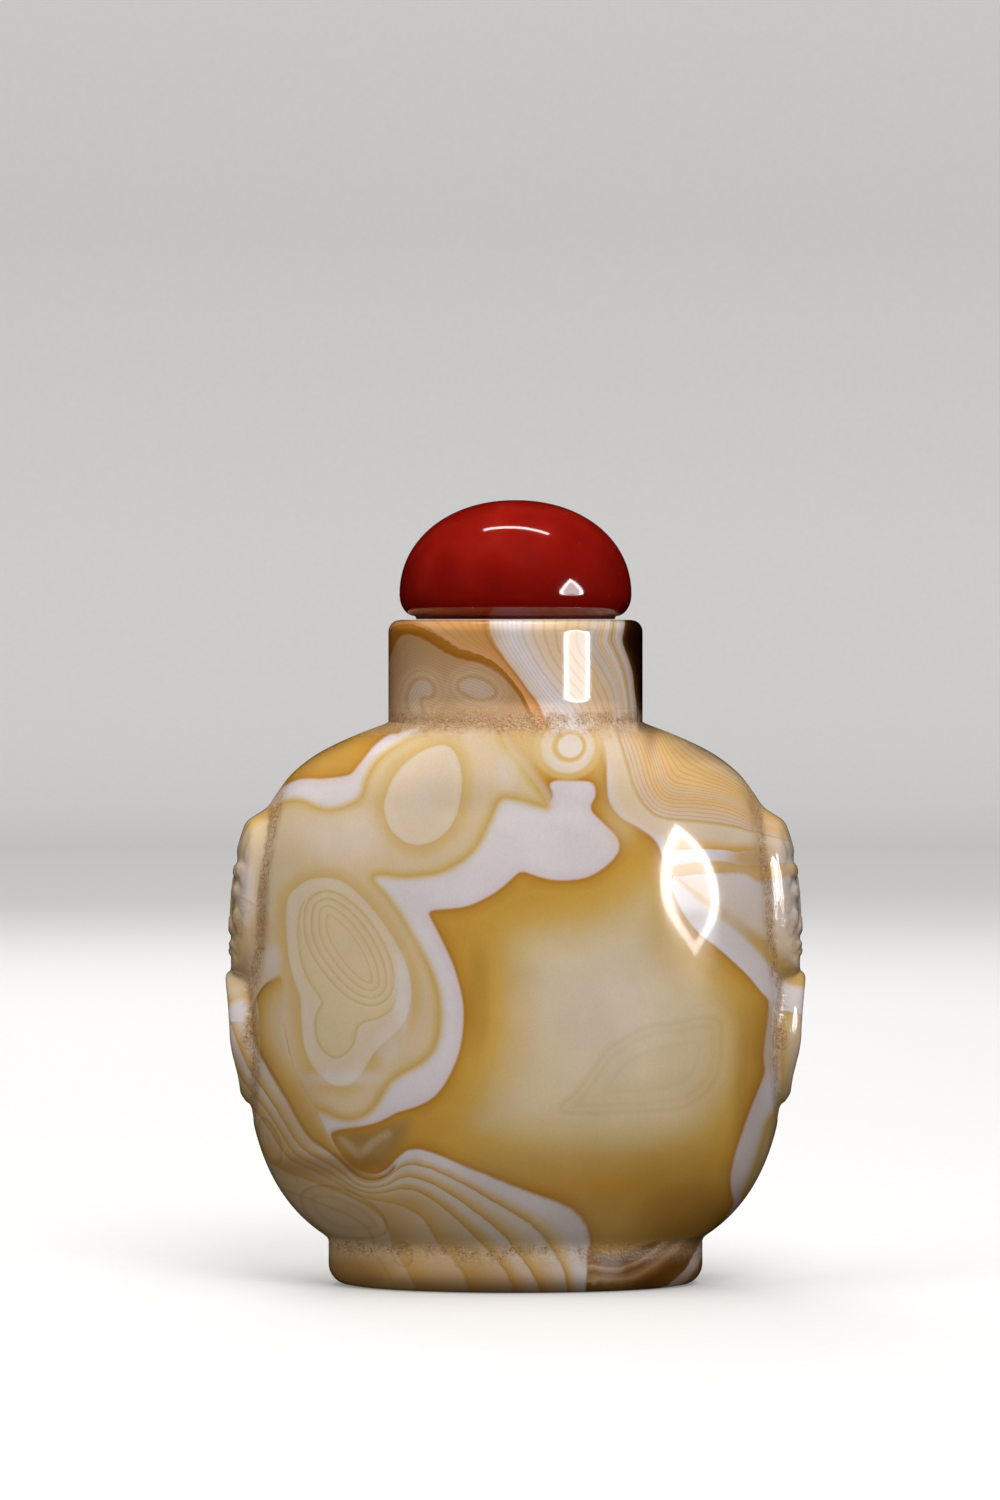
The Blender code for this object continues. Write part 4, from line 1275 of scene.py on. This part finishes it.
def agate_material(settings):
    """Banded agate: the drawing on the stone in colour, then its cloudiness, grain and dirt."""
    n = AgateNodes(settings)
    colour = fields(n)
    for over in (eyes_over, flows_over, smoke_over, swirls_over, neck_over, stains_over, back_over):
        colour = over(n, colour)
    cloud = n.ramp(n.noise(5.0 * MM, 3.0), ((0.25, (0.93, 0.92, 0.9)), (0.75, (1.06, 1.05, 1.05))))
    colour = n.tinted(colour, cloud)
    grain = n.noise(0.16 * MM, 2.0)
    grain = n.ramp(grain, ((0.3, (0.97, 0.965, 0.955)), (0.7, (1.03, 1.03, 1.03))))
    colour = n.tinted(colour, grain)
    dirt = n.value("grime")
    pits = n.noise(0.17 * MM, 2.0, 0.6)
    chance = n.noise(1.1 * MM, 4.0, 0.65)
    rough = n.noise(0.24 * MM, 3.0, 0.6)
    stained = n.times(n.times(dirt, n.step(chance, 0.3, 0.7)), 0.8)
    colour = n.mix(stained, colour, n.tinted(colour, (0.74, 0.54, 0.34)))
    here = n.step(n.plus(n.times(dirt, 0.5), chance), 0.76, 1.02)
    dot = n.times(n.step(pits, 0.52, 0.6), here)
    film = n.times(n.times(dirt, n.step(chance, 0.25, 0.75)), 0.5 * settings.dirt)
    colour = n.mix(film, colour, n.ramp(rough, (
        (0.35, (0.44, 0.24, 0.08)), (0.5, (0.62, 0.41, 0.2)), (0.64, (0.88, 0.76, 0.62)),
    )))
    colour = n.mix(n.times(dot, 0.7 * settings.dirt), colour, (0.26, 0.12, 0.04))
    smear = n.times(n.noise(2.6 * MM, 4.0), 0.05)
    roughness = n.plus(n.plus(n.times(dirt, 0.34), smear), settings.polish)
    relief = n.plus(n.times(dot, -1.0), n.times(n.times(rough, dirt), 2.2))
    return n.finished(
        Base_Color=colour, Roughness=roughness, Normal=n.bumped(relief, 0.5, 0.06 * MM), IOR=1.54,
        Coat_Weight=0.5, Coat_Roughness=0.02, Subsurface_Weight=0.12,
        Subsurface_Radius=(1.0, 0.62, 0.32), Subsurface_Scale=1.2 * MM,
    )


def carnelian_material(settings):
    """Deep red polished stone with faint clouds and a few specks, with painted shade at its lower
    edge and a painted sheen towards its top.
    """
    red = tuple(settings.red)
    n = Nodes(bpy.data.materials.new("red_stone"))
    cloud = n.ramp(n.noise(3.5 * MM, 3.0), (
        (0.3, red, (0.82, 0.7, 0.7)), (0.55, red), (0.8, red, (1.18, 1.7, 1.5)),
    ))
    # Painted shade and sheen: the red is darker at the cap's lower edge and lighter towards its
    # top.
    height = n.add("ShaderNodeSeparateXYZ", Vector=n.place()).outputs["Z"]
    tone = n.ramp(height, (
        (55.8 * MM, (0.8, 0.6, 0.6)), (57.5 * MM, (0.92, 0.9, 0.9)), (65.5 * MM, (1.08, 1.2, 1.15)),
    ))
    colour = n.tinted(cloud, tone)
    specks = n.scattered(0.8 * MM)
    chance = n.step(n.noise(1.6 * MM, 2.0), 0.55, 0.7)
    dot = n.times(n.step(specks, 0.09, 0.05), chance)
    colour = n.mix(n.times(dot, 0.4), colour, (0.62, 0.3, 0.22))
    smear = n.times(n.noise(2.0 * MM, 4.0), 0.06)
    return n.finished(
        Base_Color=colour, Roughness=n.plus(smear, 0.05), Normal=n.bumped(dot, 0.25, 0.03 * MM),
        IOR=1.54, Coat_Weight=0.4, Coat_Roughness=0.02, Subsurface_Weight=0.12,
        Subsurface_Radius=(1.0, 0.15, 0.08), Subsurface_Scale=1.5 * MM,
    )


def cork_material():
    """Dry cork with darker pores."""
    n = Nodes(bpy.data.materials.new("bare_cork"))
    base = n.ramp(n.noise(0.9 * MM, 5.0, 0.65), (
        (0.3, (0.3, 0.17, 0.08)), (0.5, (0.45, 0.29, 0.15)), (0.7, (0.58, 0.41, 0.24)),
    ))
    pore = n.times(n.step(n.scattered(0.7 * MM), 0.35, 0.15), n.step(n.noise(1.2 * MM), 0.45, 0.6))
    colour = n.mix(n.times(pore, 0.75), base, (0.12, 0.06, 0.03))
    height = n.minus(n.noise(0.3 * MM, 4.0), pore)
    return n.finished(Base_Color=colour, Roughness=0.85, Normal=n.bumped(height, 0.7, 0.1 * MM))


def floor_material(tone):
    """Pale matt paper with a very faint tooth, which glows a little so that it stays pale."""
    n = Nodes(bpy.data.materials.new("pale_floor"))
    low, high = shade(tone, (0.985,) * 3), shade(tone, (1.015,) * 3)
    paper = n.ramp(n.noise(1.5 * MM, 3.0), ((0.3, low), (0.7, high)))
    return n.finished(
        Base_Color=paper, Roughness=0.6, Emission_Color=tone, Emission_Strength=0.29
    )


# Operators


def outline_heights(low, high, steps):
    """Heights that lie equally far apart along the stone's outline, without the last."""
    heights = np.linspace(low, high, 401)
    widths = skin_half_sizes(heights)[0]
    walked = np.concatenate(([0.0], np.cumsum(np.hypot(np.diff(widths), np.diff(heights)))))
    return list(np.interp(np.linspace(0.0, walked[-1], steps + 1), walked, heights))[:-1]


def skin_heights():
    """The heights of the coarse loops, from the rim down to the table."""
    arc = [FOOT_ROUNDING * (1.0 - math.cos(math.pi / 2.0 * i / 2)) for i in range(2)]
    levels = arc + [FOOT_ROUNDING, FOOT_ROUNDING + 1.1 * MM]
    levels += outline_heights(FOOT_HEIGHT, RING_LOW, 9)
    levels += list(np.linspace(RING_LOW, MASK_LOW, 10, endpoint=False))
    levels += list(np.linspace(MASK_LOW, MASK_HIGH, 18, endpoint=False))
    levels += outline_heights(MASK_HIGH, NECK_LOW, 10)
    levels += list(np.linspace(NECK_LOW, RIM_HEIGHT - RIM_ROUNDING, 5, endpoint=False))
    levels += [RIM_HEIGHT - RIM_ROUNDING, RIM_HEIGHT - 0.35 * MM, RIM_HEIGHT]
    return levels[::-1]


def oval_sizes(heights):
    """(height, half width, half depth) of the plain stone at each height."""
    wide, deep = skin_half_sizes(np.array(heights))
    return [(float(h), float(w), float(d)) for h, w, d in zip(heights, wide, deep)]


class SNUFF_OT_bottle(bpy.types.Operator):
    """Model the stone: skin, mask and ring reliefs, hollow and foot, with its bands"""

    bl_idname = "snuff.bottle"
    bl_label = "Agate bottle"
    bl_options = {"REGISTER", "UNDO"}

    def execute(self, context):
        settings = context.scene.snuff_bottle
        sizes = oval_sizes(skin_heights())
        rim = sizes[0]
        piece = start_loop("agate_bottle", settings.columns, rim)
        loft(sizes)
        bpy.ops.mesh.select_all(action="SELECT")
        bpy.ops.mesh.subdivide(number_cuts=3)
        bpy.ops.object.mode_set(mode="OBJECT")
        mesh = piece.data
        points = np.zeros(len(mesh.vertices) * 3)
        mesh.vertices.foreach_get("co", points)
        mesh.vertices.foreach_set("co", settled(points.reshape(-1, 3)).ravel())
        mesh.update()
        bpy.ops.object.mode_set(mode="EDIT")
        select_open_edges(piece, lambda middle: middle.z > RIM_HEIGHT / 2.0)
        loft(self.inside_sizes(rim))
        bpy.ops.mesh.edge_face_add()
        select_open_edges(piece, lambda middle: middle.z < RIM_HEIGHT / 2.0)
        loft(self.foot_sizes(sizes[-1]))
        bpy.ops.mesh.edge_face_add()
        end_edit(50.0)
        paint(piece)
        wear(piece, agate_material(settings))
        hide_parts("bottle")
        return {"FINISHED"}

    def inside_sizes(self, rim):
        """The loops over the rim, down the mouth and round the hollow."""
        middle = (HOLLOW_FLOOR + HOLLOW_TOP) / 2.0
        half = (HOLLOW_TOP - HOLLOW_FLOOR) / 2.0
        out = [rim, (RIM_HEIGHT, MOUTH_RADIUS + MOUTH_EASE, MOUTH_RADIUS + MOUTH_EASE),
               (RIM_HEIGHT - MOUTH_EASE, MOUTH_RADIUS, MOUTH_RADIUS),
               (HOLLOW_TOP - 0.2 * MM, MOUTH_RADIUS, MOUTH_RADIUS)]
        for index in range(1, 12):
            turn = math.pi * index / 12.0
            size = float(rounded(math.cos(turn), HOLLOW_POWER))
            wide, deep = HOLLOW_HALF_WIDTH * size, HOLLOW_HALF_DEPTH * size
            height = middle + half * math.cos(turn)
            out.append((height, max(wide, MOUTH_RADIUS), max(deep, MOUTH_RADIUS)))
        return out

    def foot_sizes(self, last):
        """The loops under the foot and into its recess."""
        inner = FOOT_ROUNDING + FOOT_RING
        slope = inner + FOOT_RECESS / 2.0
        return [last, (0.0, FOOT_WIDTH / 2.0 - inner, FOOT_DEPTH / 2.0 - inner),
                (FOOT_RECESS, FOOT_WIDTH / 2.0 - slope, FOOT_DEPTH / 2.0 - slope)]


class SNUFF_OT_stopper_cap(bpy.types.Operator):
    """Model the red stopper's dome, its rounded lower edge and its seat"""

    bl_idname = "snuff.stopper_cap"
    bl_label = "Stopper cap"
    bl_options = {"REGISTER", "UNDO"}

    def execute(self, context):
        settings = context.scene.snuff_stopper
        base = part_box("stopper_cap")[0].z
        radius, dome = settings.diameter / 2.0, settings.height - CAP_GIRDLE
        profile = []
        for index in range(6):
            turn = math.pi / 2.0 * index / 6.0
            height = base + CAP_GIRDLE * (1.0 - math.cos(turn))
            profile.append((height, radius - CAP_EDGE * (1.0 - math.sin(turn))))
        for index in range(25):
            turn = math.pi / 2.0 * index / 25.0
            height = base + CAP_GIRDLE + dome * math.sin(turn) ** (2.0 / CAP_POWER)
            profile.append((height, radius * math.cos(turn) ** (2.0 / CAP_POWER)))
        sizes = round_loops(profile)
        piece = start_loop("red_stopper", 128, sizes[0])
        bpy.ops.mesh.edge_face_add()
        # The seat nearly meets the rim, as the real one does.
        bpy.ops.mesh.inset(thickness=SEAT_EDGE, use_even_offset=False)
        bpy.ops.transform.translate(value=(0.0, 0.0, -SEAT_DROP))
        bpy.ops.mesh.inset(thickness=radius * 0.4, use_even_offset=False)
        select_open_edges(piece)
        loft(sizes)
        bpy.ops.mesh.edge_face_add()
        end_edit(60.0)
        wear(piece, carnelian_material(settings))
        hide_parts("stopper_cap")
        return {"FINISHED"}


class SNUFF_OT_stopper_cork(bpy.types.Operator):
    """Model the tapered cork in the mouth"""

    bl_idname = "snuff.stopper_cork"
    bl_label = "Stopper cork"
    bl_options = {"REGISTER", "UNDO"}

    def execute(self, context):
        low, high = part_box("stopper_cork")
        radius, start = high.x, low.z + CORK_ROUNDING
        end = radius - CORK_TAPER
        profile = [
            (low.z, end - CORK_ROUNDING), (low.z + 0.12 * MM, end - 0.12 * MM), (start, end)
        ]
        for share in (0.25, 0.5, 0.75, 0.97):
            height = start + (high.z - low.z - CORK_ROUNDING) * share
            profile.append((height, end + (radius - end) * share))
        sizes = round_loops(profile + [(high.z, radius - CORK_BEVEL)])
        piece = start_loop("mouth_cork", 64, sizes[0])
        bpy.ops.mesh.edge_face_add()
        select_open_edges(piece)
        loft(sizes)
        bpy.ops.mesh.edge_face_add()
        end_edit(40.0)
        wear(piece, cork_material())
        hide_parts("stopper_cork")
        return {"FINISHED"}


def soft_light(name, place, target, size, power, gloss=False, diffuse=True):
    """An area light at a place that faces a target, for the even light or for the glints."""
    light = bpy.data.lights.new(name, "AREA")
    light.shape = "RECTANGLE"
    light.size, light.size_y = size
    light.energy = power
    lamp = bpy.data.objects.new(name, light)
    bpy.context.scene.collection.objects.link(lamp)
    lamp.location = place
    lamp.rotation_euler = (Vector(target) - Vector(place)).to_track_quat("-Z", "Y").to_euler()
    lamp.visible_glossy = gloss
    lamp.visible_diffuse = diffuse
    return lamp


def shape_leaf(light):
    """Let an area light shine as a pointed leaf with a bright edge and a dimmer heart."""
    n = Nodes(light, "Emission")
    place = n.add("ShaderNodeNewGeometry").outputs["Parametric"]
    place = n.add("ShaderNodeSeparateXYZ", Vector=place)
    beside = n.math("ABSOLUTE", n.math("MULTIPLY_ADD", place.outputs["X"], 2.0, -1.0))
    rise = n.math("MULTIPLY_ADD", place.outputs["Y"], 2.0, -1.0)
    high = n.math("MAXIMUM", n.math("MULTIPLY_ADD", rise, 0.69, 0.31), 0.0)
    low = n.math("MAXIMUM", n.math("MULTIPLY_ADD", rise, -1.98, -0.891), 0.0)
    tip = n.plus(n.math("POWER", high, 1.7), n.math("POWER", low, 3.2))
    inside = n.minus(n.minus(1.0, tip), beside)
    rim = n.times(n.math("GREATER_THAN", inside, 0.0), n.math("LESS_THAN", inside, LEAF_RIM))
    glow = n.math("MAXIMUM", n.math("MULTIPLY_ADD", rise, 4.0, 2.95), 0.07)
    heart = n.times(n.math("GREATER_THAN", inside, LEAF_RIM), n.math("MINIMUM", glow, 0.42))
    n.finished(Strength=n.times(n.plus(rim, heart), 2.0))


class SNUFF_OT_stage(bpy.types.Operator):
    """Set the pale floor, the soft lights and the camera"""

    bl_idname = "snuff.stage"
    bl_label = "Floor, lights and camera"
    bl_options = {"REGISTER", "UNDO"}

    def execute(self, context):
        settings = context.scene.snuff_stage
        start_clean()
        bpy.ops.mesh.primitive_circle_add(
            vertices=128, radius=FLOOR_PROFILE[0][1], fill_type="NGON"
        )
        floor = context.object
        floor.name = "pale_floor"
        bpy.ops.object.mode_set(mode="EDIT")
        select_open_edges(floor)
        loft(round_loops(FLOOR_PROFILE))
        end_edit(40.0, inside=True)
        floor.data.materials.append(floor_material(tuple(settings.floor_tone)))
        floor.visible_diffuse = False
        floor.visible_glossy = False
        for name, place, target, size, share in SOFT_LIGHTS:
            soft_light(name, place, target, size, settings.key_power * share)
        leaf = soft_light(*LEAF_GLINT, gloss=True, diffuse=False)
        shape_leaf(leaf.data)
        soft_light(*STRIP_GLINT, gloss=True, diffuse=False)
        world = bpy.data.worlds.new("even_light")
        world.use_nodes = True
        background = world.node_tree.nodes["Background"]
        background.inputs["Color"].default_value = (1.0, 0.99, 0.98, 1.0)
        background.inputs["Strength"].default_value = settings.sky
        world.cycles_visibility.glossy = False
        context.scene.world = world
        context.scene.view_settings.view_transform = "Standard"
        self.place_camera(context)
        return {"FINISHED"}

    def place_camera(self, context):
        """The camera of the photographed view: level with the rim, in front of the broad face."""
        wide, tall = VIEW_POINTS
        camera = bpy.data.cameras.new("view_camera")
        camera.sensor_fit = "VERTICAL"
        camera.sensor_height = 24.0
        camera.lens = POINTS_AT_EYE * camera.sensor_height / tall
        camera.clip_start, camera.clip_end = 0.01, 20.0
        camera.shift_x = (wide / 2.0 - AXIS_POINT) / tall
        eye = bpy.data.objects.new("view_camera", camera)
        context.scene.collection.objects.link(eye)
        eye.location = (0.0, -EYE_DISTANCE, EYE_HEIGHT)
        pitch = math.atan((tall / 2.0 - EYE_POINT) / POINTS_AT_EYE)
        eye.rotation_euler = (math.pi / 2.0 - pitch, 0.0, 0.0)
        context.scene.camera = eye


class SNUFF_PT_panel(bpy.types.Panel):
    """Lists the pieces and their settings"""

    bl_idname = "SNUFF_PT_panel"
    bl_label = "Snuff Bottle"
    bl_space_type = "VIEW_3D"
    bl_region_type = "UI"
    bl_category = "Snuff Bottle"

    def draw(self, context):
        groups = (
            (context.scene.snuff_bottle, ("snuff.bottle",)),
            (context.scene.snuff_stopper, ("snuff.stopper_cap", "snuff.stopper_cork")),
            (context.scene.snuff_stage, ("snuff.stage",)),
        )
        for settings, operators in groups:
            box = self.layout.box()
            for name in settings.__annotations__:
                box.prop(settings, name)
            for operator in operators:
                box.operator(operator)


CLASSES = (
    BottleSettings, StopperSettings, StageSettings, SNUFF_OT_bottle, SNUFF_OT_stopper_cap,
    SNUFF_OT_stopper_cork, SNUFF_OT_stage, SNUFF_PT_panel,
)


def register():
    for item in CLASSES:
        bpy.utils.register_class(item)
    bpy.types.Scene.snuff_bottle = bpy.props.PointerProperty(type=BottleSettings)
    bpy.types.Scene.snuff_stopper = bpy.props.PointerProperty(type=StopperSettings)
    bpy.types.Scene.snuff_stage = bpy.props.PointerProperty(type=StageSettings)


def unregister():
    del bpy.types.Scene.snuff_bottle
    del bpy.types.Scene.snuff_stopper
    del bpy.types.Scene.snuff_stage
    for item in reversed(CLASSES):
        bpy.utils.unregister_class(item)


def main():
    register()
    bpy.ops.snuff.bottle()
    bpy.ops.snuff.stopper_cap()
    bpy.ops.snuff.stopper_cork()
    bpy.ops.snuff.stage()


if __name__ == "__main__":
    main()
